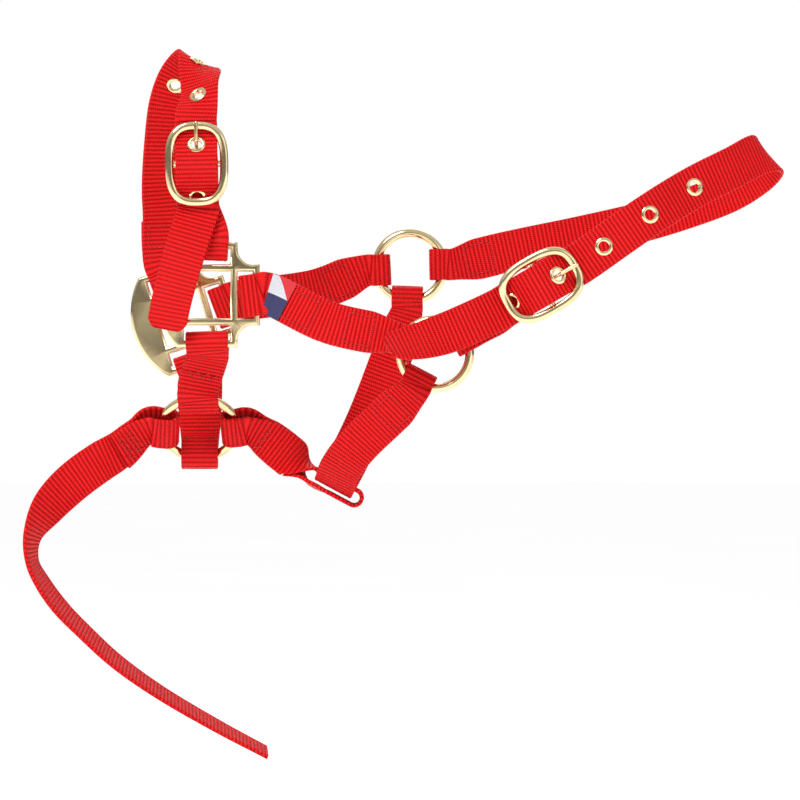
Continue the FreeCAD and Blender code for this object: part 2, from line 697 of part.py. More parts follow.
grab = Strap(
    [(CHIN_RING - X * CHIN, -CHIN_UP), (CHIN_RING - X * (CHIN + 7), -CHIN_UP),
     (place(-293.5, -3, -133), V(0.25, 0.4, -0.85)),
     (place(-303, -5, -138.5), V(0.42, 0.25, -0.83)),
     (place(-315, -9, -147.5), V(0.6, 0.3, -0.72)),
     (place(-325.5, -12, -158.5), V(0.66, 0.6, -0.45)),
     (place(-332.5, -14, -171), V(0.35, 0.93, -0.1)),
     (place(-332.8, -14, -183), V(0.2, 0.98, 0.05)),
     (place(-328, -13, -193), V(0.25, 0.95, 0.1)),
     (place(-320.5, -11.5, -203.5), V(0.25, 0.95, 0.15)),
     (place(-311, -10, -213.5), V(0.2, 0.96, 0.18)),
     (place(-295, -7, -228.5), V(0.15, 0.97, 0.2)),
     (place(-275, -3, -243), V(0.12, 0.98, 0.18)),
     (place(-250, 2, -258), V(0.1, 0.98, 0.16)),
     (place(-227, 6, -270.5), V(0.08, 0.99, 0.14))],
    start=ring_eye(CHIN, CHIN_WIRE, 0.85, loose=size("loop_slack")))


def holes_along(strap, centre, along):
    """Distances of the eyelets: the one on the tongue, one below it and three above."""
    in_use = strap.route.nearest(centre + along * size("tongue_reach"))
    return [in_use + k * size("hole_pitch") for k in (1, 0, -1, -2, -3)]


def punched(strap, distances):
    """The strap with its eyelet holes, dished where the flanges are pressed in."""
    shape = strap.solid()
    radius = size("eyelet_hole") / 2 + size("eyelet_wall")
    for along in distances:
        point, _, _, normal = strap.outer(along)
        shape = shape.cut(Part.makeCylinder(radius, PLY * 3, point - normal * PLY * 1.5, normal))
        for side in (1, -1):
            face = point + normal * side * (PLY / 2 - size("eyelet_dish"))
            shape = shape.cut(Part.makeCylinder(size("eyelet_outer") / 2, PLY, face, normal * side))
    return shape


def slotted(strap, centre, along):
    """The chape with the slot that lets the tongue reach the bar."""
    wide = size("tongue_wire") * 1.3 + 2 * FIT
    long_side = 2 * (size("buckle_bar") / 2 + PLY + 4)
    box = Part.makeBox(wide, long_side, long_side, V(-wide / 2, -long_side / 2, -long_side / 2 + 1.5))
    box.Placement = FreeCAD.Placement(centre + SIDE * BAR_BACK, axes_of(along, SIDE.cross(along)))
    return strap.solid().cut(box)


TAG_START = 7.0
nose_holes = holes_along(noseband, NOSE_BUCKLE, NOSE_ALONG)
crown_holes = holes_along(crown, CROWN_BUCKLE, CROWN_ALONG)


def woven_tag():
    """Folded tag sewn flat on the outer face of the near cheek strap, next to the square."""
    long_side = WIDTH - 2 * FIT
    point, tangent, width, normal = near_cheek.outer(TAG_START + size("tag_width") / 2)
    box = Part.makeBox(size("tag_width"), long_side, size("tag_ply"))
    turn = FreeCAD.Rotation(tangent, width, V(0, 0, 0), "XYZ")
    shift = turn.multVec(V(-size("tag_width") / 2, -long_side / 2, 0))
    return feature("woven_tag", box, FreeCAD.Placement(point + normal * (PLY / 2 + FIT) + shift, turn))


nodes += [
    feature("noseband_strap", punched(noseband, nose_holes)),
    feature("noseband_chape", slotted(noseband_chape, NOSE_BUCKLE, NOSE_ALONG)),
    feature("near_cheek_strap", near_cheek.solid()),
    feature("far_cheek_strap", far_cheek.solid()),
    feature("crown_strap", punched(crown, crown_holes)),
    feature("crown_chape", slotted(crown_chape, CROWN_BUCKLE, CROWN_ALONG)),
    feature("throat_strap", throat.solid()),
    feature("connecting_strap", connecting.solid()),
    feature("near_chin_strap", near_chin.solid()),
    feature("far_chin_strap", far_chin.solid()),
    feature("grab_strap", grab.solid()),
    feature("noseband_eyelets", Part.makeCompound([eyelet(noseband, a) for a in nose_holes])),
    feature("crown_eyelets", Part.makeCompound([eyelet(crown, a) for a in crown_holes])),
    woven_tag(),
]

# ---------------------------------------------------------------- check and write
doc.recompute()
for item in doc.Objects:
    if "Invalid" in item.State or "Error" in item.State:
        raise RuntimeError("%s did not build: %s" % (item.Label, item.State))
os.makedirs("parts", exist_ok=True)
for node in nodes:
    if node.Shape.isNull() or not node.Shape.isValid():
        raise RuntimeError("%s has no valid shape" % node.Label)
for node in nodes:
    node.Shape.exportStep(os.path.join("parts", node.Label + ".step"))
    box = node.Shape.BoundBox
    print("%-24s solids %2d volume %9.1f  x %7.1f %7.1f  y %6.1f %6.1f  z %7.1f %7.1f" % (
        node.Label, len(node.Shape.Solids), node.Shape.Volume,
        box.XMin, box.XMax, box.YMin, box.YMax, box.ZMin, box.ZMax))
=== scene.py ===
import json
import math

import bpy
import numpy as np
from mathutils import Matrix, Vector


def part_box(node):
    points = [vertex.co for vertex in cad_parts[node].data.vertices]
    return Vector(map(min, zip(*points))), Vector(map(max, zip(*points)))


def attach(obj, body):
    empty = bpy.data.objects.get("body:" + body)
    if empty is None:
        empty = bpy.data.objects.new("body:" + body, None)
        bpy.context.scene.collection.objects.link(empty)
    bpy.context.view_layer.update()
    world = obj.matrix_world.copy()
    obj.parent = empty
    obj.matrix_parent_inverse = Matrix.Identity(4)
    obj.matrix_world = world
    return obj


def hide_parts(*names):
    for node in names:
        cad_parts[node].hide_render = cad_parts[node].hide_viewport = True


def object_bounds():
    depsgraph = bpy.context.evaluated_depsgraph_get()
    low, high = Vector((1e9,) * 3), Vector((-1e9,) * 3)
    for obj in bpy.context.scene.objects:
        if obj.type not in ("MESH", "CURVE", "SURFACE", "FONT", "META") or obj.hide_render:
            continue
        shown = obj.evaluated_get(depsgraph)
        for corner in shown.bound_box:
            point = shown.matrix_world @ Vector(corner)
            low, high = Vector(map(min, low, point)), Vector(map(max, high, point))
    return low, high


bl_info = {
    "name": "Foal Halter",
    "version": (1, 0, 0),
    "blender": (4, 5, 0),
    "location": "View3D > Sidebar > Halter",
    "description": "Dresses a flat webbing foal halter with woven straps, stitching and brass hardware",
    "category": "Object",
}

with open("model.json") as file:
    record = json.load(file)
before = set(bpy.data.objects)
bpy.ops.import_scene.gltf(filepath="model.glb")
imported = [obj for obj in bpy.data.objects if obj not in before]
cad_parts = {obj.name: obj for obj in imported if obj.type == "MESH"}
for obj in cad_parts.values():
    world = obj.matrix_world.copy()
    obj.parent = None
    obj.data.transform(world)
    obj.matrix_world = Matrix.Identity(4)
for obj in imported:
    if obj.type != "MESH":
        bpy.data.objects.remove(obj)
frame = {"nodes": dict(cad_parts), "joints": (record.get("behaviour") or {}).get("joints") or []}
CAD_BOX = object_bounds()

MM = 0.001
WIDTH = 19 * MM
SIDE = Vector((0, 1, 0))
LENGTHWISE = Vector((1, 0, 0))


# ------------------------------------------------------------------ settings
def length_setting(name, about, default):
    return bpy.props.FloatProperty(name=name, description=about, default=default, unit="LENGTH")


def colour_setting(name, about, default):
    return bpy.props.FloatVectorProperty(
        name=name, description=about, default=default, size=3, subtype="COLOR")


class WebbingSettings(bpy.types.PropertyGroup):
    """Sizes and colours of the woven straps."""

    width: length_setting("Width", "Width of every strap", WIDTH)
    ply: length_setting("Ply", "Thickness of one layer of webbing", 2 * MM)
    ply_gap: length_setting("Ply gap", "Space between two sewn layers", 0.1 * MM)
    fit_gap: length_setting("Fit gap", "Space round the metal a strap holds", 0.3 * MM)
    rib_pitch: length_setting("Rib pitch", "Distance between the weft ribs", 1.9 * MM)
    rib_depth: length_setting("Rib depth", "Depth of the groove between two ribs", 0.2 * MM)
    fineness: length_setting("Fineness", "Length of one mesh step along a strap", 0.32 * MM)
    colour: colour_setting("Colour", "Dyed nylon", (0.62, 0.0008, 0.0016))
    # Painted shade: the colour laid in the grooves between the ribs, where shade falls.
    groove_painted_shade: colour_setting("Shade", "Nylon down between the ribs", (0.30, 0.0, 0.002))


class HardwareSettings(bpy.types.PropertyGroup):
    """Colours and finish of the castings, rings and eyelets."""

    brass: colour_setting("Brass", "Polished plate", (0.87, 0.72, 0.42))
    worn: colour_setting("Worn brass", "Plate where it is handled", (0.72, 0.56, 0.30))
    gloss: bpy.props.FloatProperty(
        name="Roughness", description="Roughness of the polish", default=0.13, min=0, max=1)


class StageSettings(bpy.types.PropertyGroup):
    """Camera distance and floor."""

    lens: bpy.props.FloatProperty(
        name="Lens", description="Focal length in millimetres", default=300)
    view_width: length_setting("View width", "Width that the picture covers", 363.6 * MM)
    floor_drop: length_setting("Floor drop", "Floor below the lowest strap", 60 * MM)


def webbing():
    return bpy.context.scene.halter_webbing


def hardware():
    return bpy.context.scene.halter_hardware


# ------------------------------------------------------------------ places read from the frame
def middle_of(node):
    low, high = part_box(node)
    return (low + high) / 2


def joint(name):
    return [j for j in frame["joints"] if j["name"] == name][0]


def in_plane(angle):
    return Vector((math.cos(math.radians(angle)), 0, math.sin(math.radians(angle))))


NEAR_RING = middle_of("near_jaw_ring")
FAR_RING = middle_of("far_jaw_ring")
CHIN_RING = middle_of("chin_ring")


def ring_sizes(node):
    """Radius to the middle of the wire, and the wire's radius, of a ring that faces sideways."""
    low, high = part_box(node)
    wire = (high.y - low.y) / 2
    return (high.x - low.x) / 2 - wire, wire


JAW, JAW_WIRE = ring_sizes("near_jaw_ring")
CHIN_WIRE = JAW_WIRE
CHIN = (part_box("chin_ring")[1].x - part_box("chin_ring")[0].x) / 2 - CHIN_WIRE
CHIN_AXIS = Vector(joint("lead_ring_spin")["axis"]).normalized()
CHIN_UP = LENGTHWISE.cross(CHIN_AXIS)

SQUARE_BAR = 3.2 * MM
WINDOW_CLEARANCE = 1 * MM
SLOT_DEPTH = 10 * MM
SQUARE_REACH = WIDTH / 2 + WINDOW_CLEARANCE + SQUARE_BAR / 2 + SLOT_DEPTH
FAR_SQUARE_TURN = 17


def upright_square(node):
    """Middle of an upright square's window, from the back bar at the end of its box."""
    middle = middle_of(node)
    middle.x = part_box(node)[1].x - SQUARE_REACH - SQUARE_BAR / 2
    return middle


NEAR_SQUARE = upright_square("near_halter_square")
FAR_SQUARE = Vector((-266.3, 30, -72.7)) * MM
FAR_UP = in_plane(90 + FAR_SQUARE_TURN)
FAR_BACK = in_plane(FAR_SQUARE_TURN)
NOSE_BAR = Vector(joint("nose_frame_rock")["pos_m"])
NOSE_ALONG = Vector(joint("nose_frame_rock")["axis"]).cross(SIDE).normalized()
CROWN_BAR = Vector(joint("crown_frame_rock")["pos_m"])
CROWN_ALONG = Vector(joint("crown_frame_rock")["axis"]).cross(SIDE).normalized()

BUCKLE_LENGTH = 38 * MM
BUCKLE_RIM = 3.7 * MM
BUCKLE_THICK = 3 * MM
BUCKLE_BAR = 3 * MM
BAR_BACK = 2.4 * MM
ROCK_GAP = 0.7 * MM
TONGUE_REACH = 8.4 * MM
HOLE_PITCH = 25.4 * MM
EYELET_OUTER = 8 * MM
EYELET_HOLE = 5 * MM
EYELET_FLANGE = 0.45 * MM
EYELET_WALL = 0.4 * MM
SEAM_LAP = 24 * MM
EYE_TAPER = 9 * MM
GATHER = 0.76
CHIN_GATHER = 0.85
BAR_HOLD = 0.6
LOOP_SLACK = 1.2 * MM
THROAT_LOW = Vector((-196.6, 0, -149.3)) * MM


def ease(share):
    share = min(max(share, 0.0), 1.0)
    return share * share * (3 - 2 * share)


# ------------------------------------------------------------------ webbing shapes
class Eye:
    """A turned-back strap end round a wire, a bar or another strap."""

    def __init__(self, hold, slack=0.0, clear=0.0, width=1.0):
        cloth = webbing()
        self.spread = hold + cloth.fit_gap + cloth.ply / 2
        self.sewn = (cloth.ply + cloth.ply_gap) / 2
        self.slack = slack
        self.clear = clear
        self.lap = SEAM_LAP
        self.width = width

    def separation(self, along):
        return self.spread + (self.sewn - self.spread) * ease((along - self.clear) / EYE_TAPER)


def ring_eye(radius, wire, gather, loose=0.0):
    cloth = webbing()
    dip = radius - math.sqrt((radius - wire) ** 2 - (cloth.width * gather / 2) ** 2)
    return Eye(wire + loose, slack=dip - wire + cloth.fit_gap, clear=wire + MM, width=gather)


def bar_eye(bar, slack):
    return Eye(bar * BAR_HOLD, slack=slack, clear=bar / 2)


def jaw_eye():
    return ring_eye(JAW, JAW_WIRE, GATHER)


class Strap:
    """One length of webbing along listed stations, turned back through an eye at either end."""

    FADE = 12 * MM
    SPREAD = 14 * MM
    TIP_WIDTH = 0.55
    LOOK = 0.8 * MM

    def __init__(self, name, stations, start=None, end=None, whole=False, tip=0.0):
        self.name, self.start, self.end, self.whole, self.tip = name, start, end, whole, tip
        self.fit(stations)
        self.length = self.at[-1]
        if whole:
            start.lap = end.lap = self.length / 2 - webbing().fit_gap

    def fit(self, stations, fine=24):
        """Catmull-Rom line through the stations, with the direction of the width at each."""
        points = [Vector(p) for p, _ in stations]
        widths = [Vector(w).normalized() for _, w in stations]
        padded = [points[0] * 2 - points[1]] + points + [points[-1] * 2 - points[-2]]
        turned = [widths[0]] + widths + [widths[-1]]
        line, across = [], []
        for i in range(len(points) - 1):
            for step in range(fine):
                share = step / fine
                line.append(self.between(padded[i:i + 4], share))
                across.append(self.between(turned[i:i + 4], share))
        self.line = np.array(line + [points[-1]])
        self.across = np.array(across + [widths[-1]])
        runs = np.linalg.norm(np.diff(self.line, axis=0), axis=1)
        self.at = np.concatenate([[0.0], np.cumsum(runs)])

    @staticmethod
    def between(four, share):
        before, start, end, after = four
        s2, s3 = share ** 2, share ** 3
        return (start * (2 * s3 - 3 * s2 + 1) + (end - before) * (0.5 * (s3 - 2 * s2 + share))
                + end * (3 * s2 - 2 * s3) + (after - start) * (0.5 * (s3 - s2)))

    def on(self, track, along):
        return Vector([np.interp(along, self.at, track[:, k]) for k in range(3)])

    def frame(self, along):
        """Point, direction, width direction and outer normal of the middle line."""
        inside = min(max(along, 0.0), self.length)
        point, width = self.on(self.line, inside), self.on(self.across, inside)
        ahead, behind = min(inside + self.LOOK, self.length), max(inside - self.LOOK, 0.0)
        tangent = (self.on(self.line, ahead) - self.on(self.line, behind)).normalized()
        width = (width - tangent * width.dot(tangent)).normalized()
        return point + tangent * (along - inside), tangent, width, width.cross(tangent)

    def eyes_from(self, along):
        return [(eye, d) for eye, d in ((self.start, along), (self.end, self.length - along)) if eye]

    def rise(self, along):
        """How far the outer ply's middle stands off the middle line."""
        result = 0.0
        for eye, distance in self.eyes_from(along):
            fade = 1.0 if self.whole else ease((eye.lap + self.FADE - distance) / self.FADE)
            result = max(result, eye.separation(distance) * fade)
        return result

    def width_at(self, along):
        share = 1.0
        for eye, distance in self.eyes_from(along):
            if eye.width < 1:
                opened = ease((distance - eye.clear) / self.SPREAD)
                share = min(share, eye.width + (1 - eye.width) * opened)
        if self.tip:
            left = (self.length - along) / self.tip
            if left < 1:
                share = min(share, self.TIP_WIDTH + (1 - self.TIP_WIDTH) * math.sqrt(max(left, 0.0)))
        return webbing().width * share

    def outer(self, along):
        point, tangent, width, normal = self.frame(along)
        return point + normal * self.rise(along), tangent, width, normal

    def under(self, along):
        """The turned-back ply, where there is one."""
        eye, distance = min(self.eyes_from(along), key=lambda pair: pair[1])
        point, tangent, width, normal = self.frame(along)
        return point - normal * eye.separation(distance), tangent, width, -normal

    def nearest(self, target):
        return float(self.at[np.argmin(np.linalg.norm(self.line - np.array(target), axis=1))])

    def sections(self):
        """Middle, width direction, outward direction and width of each cross-section in turn."""
        step = webbing().fineness
        result = []

        def straight(first, last, layer):
            count = max(int(abs(last - first) / step), 2)
            for along in np.linspace(first, last, count):
                point, _, width, normal = layer(along)
                spot = along if layer == self.outer else None
                result.append((point, width, normal, self.width_at(along), spot))

        def fold(eye, along, away):
            point, _, width, normal = self.frame(along)
            across = self.width_at(along)
            lead = normal * (-1 if eye is self.start else 1)
            slack_steps = max(int(eye.slack / step), 1)
            slid = [point + away * (eye.slack * k / slack_steps) for k in range(1, slack_steps)]
            count = max(int(math.pi * eye.spread / step), 8)
            for place in slid:
                result.append((place + lead * eye.spread, width, lead, across, None))
            for turn in np.linspace(math.pi / 2, -math.pi / 2, count):
                outward = away * math.cos(turn) + lead * math.sin(turn)
                result.append((point + away * eye.slack + outward * eye.spread, width, outward, across, None))
            for place in reversed(slid):
                result.append((place - lead * eye.spread, width, -lead, across, None))

        if self.start:
            straight(self.start.lap, 0.0, self.under)
            fold(self.start, 0.0, -self.frame(0.0)[1])
        straight(0.0, self.length, self.outer)
        if self.end:
            fold(self.end, self.length, self.frame(self.length)[1])
            straight(self.length, self.length - self.end.lap, self.under)
        return result


# One half of the webbing's cross-section: share of the half width, share of the half ply, rib share.
EDGE_PROFILE = [
    (1.0, 0.0, 0.0), (0.988, 0.5, 0.1), (0.955, 0.86, 0.35), (0.90, 0.99, 0.5), (0.83, 0.97, 0.5),
    (0.785, 0.80, 0.6), (0.74, 0.94, 1.0), (0.58, 0.96, 1.0), (0.42, 0.96, 1.0), (0.34, 0.97, 1.0),
    (0.28, 0.97, 1.0), (0.22, 0.97, 1.0), (0.16, 0.97, 1.0), (0.10, 0.97, 1.0), (0.04, 0.97, 1.0)]
HOLE_MARGIN = 0.35 * MM
HOLE_REACH = EYELET_HOLE / 2 + EYELET_WALL + HOLE_MARGIN
SHORTEST_ROW = 0.02 * MM
RIB_ROUNDNESS = 0.7
RIB_PINCH = 0.012


def section_ring():
    """Points round one cross-section: (across, height, rib share), each from -1 to 1."""
    top = [(-v, h, r) for v, h, r in EDGE_PROFILE] + EDGE_PROFILE[::-1]
    bottom = [(v, -h, r) for v, h, r in reversed(top[1:-1])]
    return top + bottom


def hole_cells(spots, ring, half, centres):
    """Which cells of the grid lie inside an eyelet's hole: (row, column on the outer face)."""
    top = len(EDGE_PROFILE) * 2
    inside = set()
    for i, (first, second) in enumerate(zip(spots, spots[1:])):
        if first is None or second is None:
            continue
        near = min(centres, key=lambda c: abs(c - first), default=None)
        if near is None:
            continue
        along = (first + second) / 2 - near
        for k in range(top - 1):
            across = (ring[k, 0] + ring[k + 1, 0]) / 2 * half
            if math.hypot(along, across) < HOLE_REACH:
                inside.add((i, k))
    return inside


def cut_cells(faces, inside, around):
    """Take the cells out of both faces of the webbing and close the walls between them."""
    top = len(EDGE_PROFILE) * 2
    facing = [k if k in (0, top - 1) else 2 * top - 2 - k for k in range(top)]
    gone = set()
    for i, k in inside:
        gone.add(i * around + k)
        gone.add(i * around + facing[k + 1])
    kept = [face for n, face in enumerate(faces) if n not in gone]
    for i, k in inside:
        corners = ((i, k), (i, k + 1), (i + 1, k + 1), (i + 1, k))
        beyond = ((i - 1, k), (i, k + 1), (i + 1, k), (i, k - 1))
        for n, cell in enumerate(beyond):
            if cell not in inside:
                (r0, c0), (r1, c1) = corners[n], corners[(n + 1) % 4]
                kept.append([r0 * around + c0, r1 * around + c1,
                             r1 * around + facing[c1], r0 * around + facing[c0]])
    return kept


def new_mesh(name, verts, faces):
    mesh = bpy.data.meshes.new(name)
    mesh.from_pydata([tuple(v) for v in verts], [], [tuple(f) for f in faces])
    mesh.update()
    made = bpy.data.objects.new(name, mesh)
    bpy.context.collection.objects.link(made)
    return made


def weave(strap, name, holes=()):
    """The strap as a closed mesh with its ribs and rolled selvedges, and a map that follows it."""
    cloth = webbing()
    ring = np.array(section_ring())
    rows, arc, spots, last, travelled = [], [], [], None, 0.0
    for middle, width, outward, across, spot in strap.sections():
        if last is not None:
            gap = (middle - last).length
            if gap < SHORTEST_ROW:
                continue
            travelled += gap
        last = middle
        groove = 1 - abs(math.sin(math.pi * travelled / cloth.rib_pitch)) ** RIB_ROUNDNESS
        half = across / 2 * (1 - RIB_PINCH * groove)
        height = cloth.ply / 2 - cloth.rib_depth * groove * ring[:, 2]
        side, up = np.array(width), np.array(outward)
        rows.append(np.array(middle) + np.outer(ring[:, 0] * half, side) + np.outer(ring[:, 1] * height, up))
        arc.append(travelled)
        spots.append(spot)
    count, around = len(rows), len(ring)
    verts = np.concatenate(rows)
    first = np.arange(count - 1)[:, None] * around
    here = np.arange(around)[None, :]
    after = (here + 1) % around
    faces = np.stack([first + here, first + after, first + around + after, first + around + here],
                     axis=-1).reshape(-1, 4).tolist()
    if holes:
        faces = cut_cells(faces, hole_cells(spots, ring, cloth.width / 2, holes), around)
    faces.append(list(reversed(range(around))))
    faces.append([(count - 1) * around + k for k in range(around)])
    made = new_mesh(name, verts, faces)
    uv = made.data.uv_layers.new(name="weave")
    corner = np.zeros(len(made.data.loops), dtype=np.int32)
    made.data.loops.foreach_get("vertex_index", corner)
    along = np.repeat(np.array(arc), around)[corner]
    half_width = cloth.width / 2
    flat = np.tile(ring[:, 0] * half_width, count)[corner]
    uv.data.foreach_set("uv", np.stack([along, flat], axis=-1).ravel().astype(np.float32))
    made.data.polygons.foreach_set("use_smooth", [True] * len(faces))
    made.data.update()
    return made


def finish_piece(made, body, coat, slot, *replaced):
    made.data.materials.clear()
    made.data.materials.append(coat)
    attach(made, body)
    if replaced:
        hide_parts(*replaced)
    return made


def select_only(obj):
    bpy.ops.object.select_all(action="DESELECT")
    obj.select_set(True)
    bpy.context.view_layer.objects.active = obj


def face_outward(made):
    select_only(made)
    bpy.ops.object.mode_set(mode="EDIT")
    bpy.ops.mesh.select_all(action="SELECT")
    bpy.ops.mesh.normals_make_consistent(inside=False)
    bpy.ops.object.mode_set(mode="OBJECT")


# ------------------------------------------------------------------ routes
def off_ring(centre, radius, away, flat=7 * MM):
    across = SIDE.cross(away)
    return [(centre + away * radius, across), (centre + away * (radius + flat), across)]


def onto_ring(centre, radius, away):
    return [(point, -width) for point, width in off_ring(centre, radius, away)[::-1]]


def at(x, y, z):
    return Vector((x, y, z)) * MM


def through_buckle(bar, along):
    """Stations of a billet: under the far rim, over the bar, and under the near rim."""
    cloth = webbing()
    centre = bar - SIDE * BAR_BACK
    under = -(BUCKLE_THICK / 2 + ROCK_GAP + cloth.ply / 2)
    lower = under - EYELET_FLANGE
    over = -BAR_BACK + BUCKLE_BAR * BAR_HOLD + cloth.fit_gap + cloth.ply * 1.5 + cloth.ply_gap * 2
    rim = BUCKLE_LENGTH / 2 - BUCKLE_RIM / 2
    inner = rim - BUCKLE_RIM / 2
    flat = EYELET_OUTER / 2
    path = [(rim + 5 * MM, under - 0.2 * MM), (inner + 0.2 * MM, under), (TONGUE_REACH + flat, -1.95 * MM),
            (TONGUE_REACH, 0), (TONGUE_REACH - flat, 1.75 * MM), (0, over),
            (-4 * MM, over - 0.5 * MM), (-8 * MM, 0.6 * MM), (-11.5 * MM, -1.9 * MM),
            (-inner, lower), (-rim - 4 * MM, lower)]
    return [(centre + along * u - SIDE * d, SIDE.cross(along)) for u, d in path]


def chape_route(root, bar, along):
    """From the held bar or ring to the buckle's bar, low under the near rim."""
    cloth = webbing()
    across = SIDE.cross(along)
    centre = bar - SIDE * BAR_BACK
    rim = BUCKLE_LENGTH / 2 - BUCKLE_RIM / 2
    low = (BUCKLE_THICK / 2 + ROCK_GAP + cloth.fit_gap + 2 * EYELET_FLANGE + cloth.ply * 2
           + cloth.ply_gap * 2.5)
    return root + [(centre - along * (rim + 2 * MM) + SIDE * (low + 0.3 * MM), across),
                   (centre - along * (rim - 5 * MM) + SIDE * low, across),
                   (bar - along * 5.5 * MM + SIDE * 1.2 * MM, across),
                   (bar, across)]


def noseband_route():
    back, up, top = FAR_BACK, FAR_UP, FAR_SQUARE + FAR_UP * SQUARE_REACH
    inner, outer = Vector((0.92, 0.38, 0)), Vector((0.82, -0.57, 0))
    return Strap("noseband_strap", [
        (top, back), (top + up * 8 * MM, back),
        (at(-275.8, 29, -24), inner), (at(-275.8, 26, -9), inner), (at(-274.5, 22, 9), inner),
        (at(-272, 17, 25), (0.93, 0.3, -0.2)), (at(-267, 10, 37), (0.88, 0.1, -0.45)),
        (at(-260, -2, 43.5), (0.86, -0.05, -0.52)), (at(-257, -14, 39), (0.82, -0.4, -0.3)),
        (at(-256.8, -24, 30), outer)]
        + through_buckle(NOSE_BAR, NOSE_ALONG)
        + [(at(-260.6, -36.2, -36), (0.97, -0.1, -0.2)), (at(-264.6, -37.4, -49), (0.95, -0.2, -0.2)),
           (at(-268.6, -37.6, -64), (0.93, -0.28, -0.2)), (at(-271.6, -38, -78.5), (0.92, -0.33, -0.18))],
        start=bar_eye(SQUARE_BAR, 2.5 * MM), tip=4 * MM)


def noseband_chape_route():
    top = NEAR_SQUARE + Vector((0, 0, SQUARE_REACH))
    return Strap("noseband_chape", chape_route(
        [(top, LENGTHWISE), (top + at(0, 0, 6), LENGTHWISE)], NOSE_BAR, NOSE_ALONG),
        start=bar_eye(SQUARE_BAR, 2.5 * MM), end=bar_eye(BUCKLE_BAR, 0.0), whole=True)


def near_cheek_route():
    back = NEAR_SQUARE + LENGTHWISE * SQUARE_REACH
    return Strap("near_cheek_strap", [
        (back, (0, 0, -1)), (back + LENGTHWISE * 7 * MM, (-0.1, 0, -1)),
        (at(-199, -36.5, -75), (-0.33, -0.1, -0.94))]
        + onto_ring(NEAR_RING, JAW, in_plane(159)),
        start=bar_eye(SQUARE_BAR, 3 * MM), end=jaw_eye(), whole=True)


def far_cheek_route():
    back = FAR_SQUARE + FAR_BACK * SQUARE_REACH
    return Strap("far_cheek_strap", [
        (back, -FAR_UP), (back + FAR_BACK * 7 * MM, -FAR_UP), (at(-206, 36, -59.5), (0.18, 0, -0.98))]
        + onto_ring(FAR_RING, JAW, in_plane(186)),
        start=bar_eye(SQUARE_BAR, 3 * MM), end=jaw_eye(), whole=True)


def crown_route():
    return Strap("crown_strap", off_ring(FAR_RING, JAW, in_plane(4)) + [
        (at(-112, 41, -40.6), (0.22, -0.1, -0.97)), (at(-84, 39, -34.8), (0.26, -0.15, -0.96)),
        (at(-56, 35, -28.4), (0.3, -0.2, -0.93)), (at(-33, 29, -21.5), (0.38, -0.25, -0.89)),
        (at(-15, 20, -14.5), (0.5, -0.3, -0.81)), (at(-3, 9, -6.5), (0.62, -0.25, -0.74)),
        (at(1.05, -2, -0.5), (0.66, 0.0, -0.75)), (at(-4, -13, 1.2), (0.6, 0.2, -0.77)),
        (at(-16, -23, -5), (0.5, 0.2, -0.84)), (at(-35, -32, -14.8), (0.5, 0.1, -0.86)),
        (at(-56.4, -41, -28.2), (0.52, 0.05, -0.85))]
        + through_buckle(CROWN_BAR, CROWN_ALONG)
        + [(at(-132, -47.6, -74.2), (0.44, -0.05, -0.89)), (at(-145, -50.2, -79.8), (0.36, -0.15, -0.9)),
           (at(-158, -55.4, -83.8), (0.3, -0.5, -0.81)), (at(-172, -60, -86.6), (0.22, -0.78, -0.58))],
        start=jaw_eye(), tip=4 * MM)


def crown_chape_route():
    return Strap("crown_chape", chape_route(
        off_ring(NEAR_RING, JAW, in_plane(31), 6 * MM), CROWN_BAR, CROWN_ALONG),
        start=jaw_eye(), end=bar_eye(BUCKLE_BAR, 0.0), whole=True)


def throat_route():
    flat = Vector((0.88, 0, -0.47))
    return Strap("throat_strap", [
        (p, -w) for p, w in off_ring(FAR_RING, JAW, in_plane(265))] + [
        (at(-171, 39, -92), (0.97, 0, -0.3)), (at(-181, 32, -118), (0.93, 0, -0.4)),
        (at(-190, 22, -137), (0.9, 0, -0.44)), (THROAT_LOW + at(0.4, 11, 0.7), flat), (THROAT_LOW, flat),
        (THROAT_LOW + at(0.4, -11, 0.7), flat), (at(-193, -22, -140.5), (0.86, 0, -0.5)),
        (at(-184, -32, -129), (0.84, 0, -0.56))]
        + onto_ring(NEAR_RING, JAW, in_plane(238)),
        start=jaw_eye(), end=jaw_eye())


def near_chin_route():
    low = NEAR_SQUARE - Vector((0, 0, SQUARE_REACH))
    return Strap("near_chin_strap", [
        (low, LENGTHWISE), (low - CHIN_UP * 7 * MM, LENGTHWISE),
        (CHIN_RING + CHIN_UP * (CHIN + 7 * MM), LENGTHWISE), (CHIN_RING + CHIN_UP * CHIN, LENGTHWISE)],
        start=bar_eye(SQUARE_BAR, 2 * MM), end=ring_eye(CHIN, CHIN_WIRE, 0.97), whole=True)


def far_chin_route():
    low = FAR_SQUARE - FAR_UP * SQUARE_REACH
    away = Vector((0, 0.42, 0.91)).normalized()
    end = CHIN_RING - CHIN_UP * (CHIN - MM)
    return Strap("far_chin_strap", [
        (low, FAR_BACK), (low - FAR_UP * 8 * MM - SIDE * 1.5 * MM, FAR_BACK),
        (end + away * 18 * MM, (0.99, 0, 0.1)), (end + away * 8 * MM, LENGTHWISE), (end, LENGTHWISE)],
        start=bar_eye(SQUARE_BAR, 2 * MM),
        end=Eye(CHIN_WIRE + 1.4 * MM, slack=0.6 * MM, clear=4 * MM, width=0.88), whole=True)


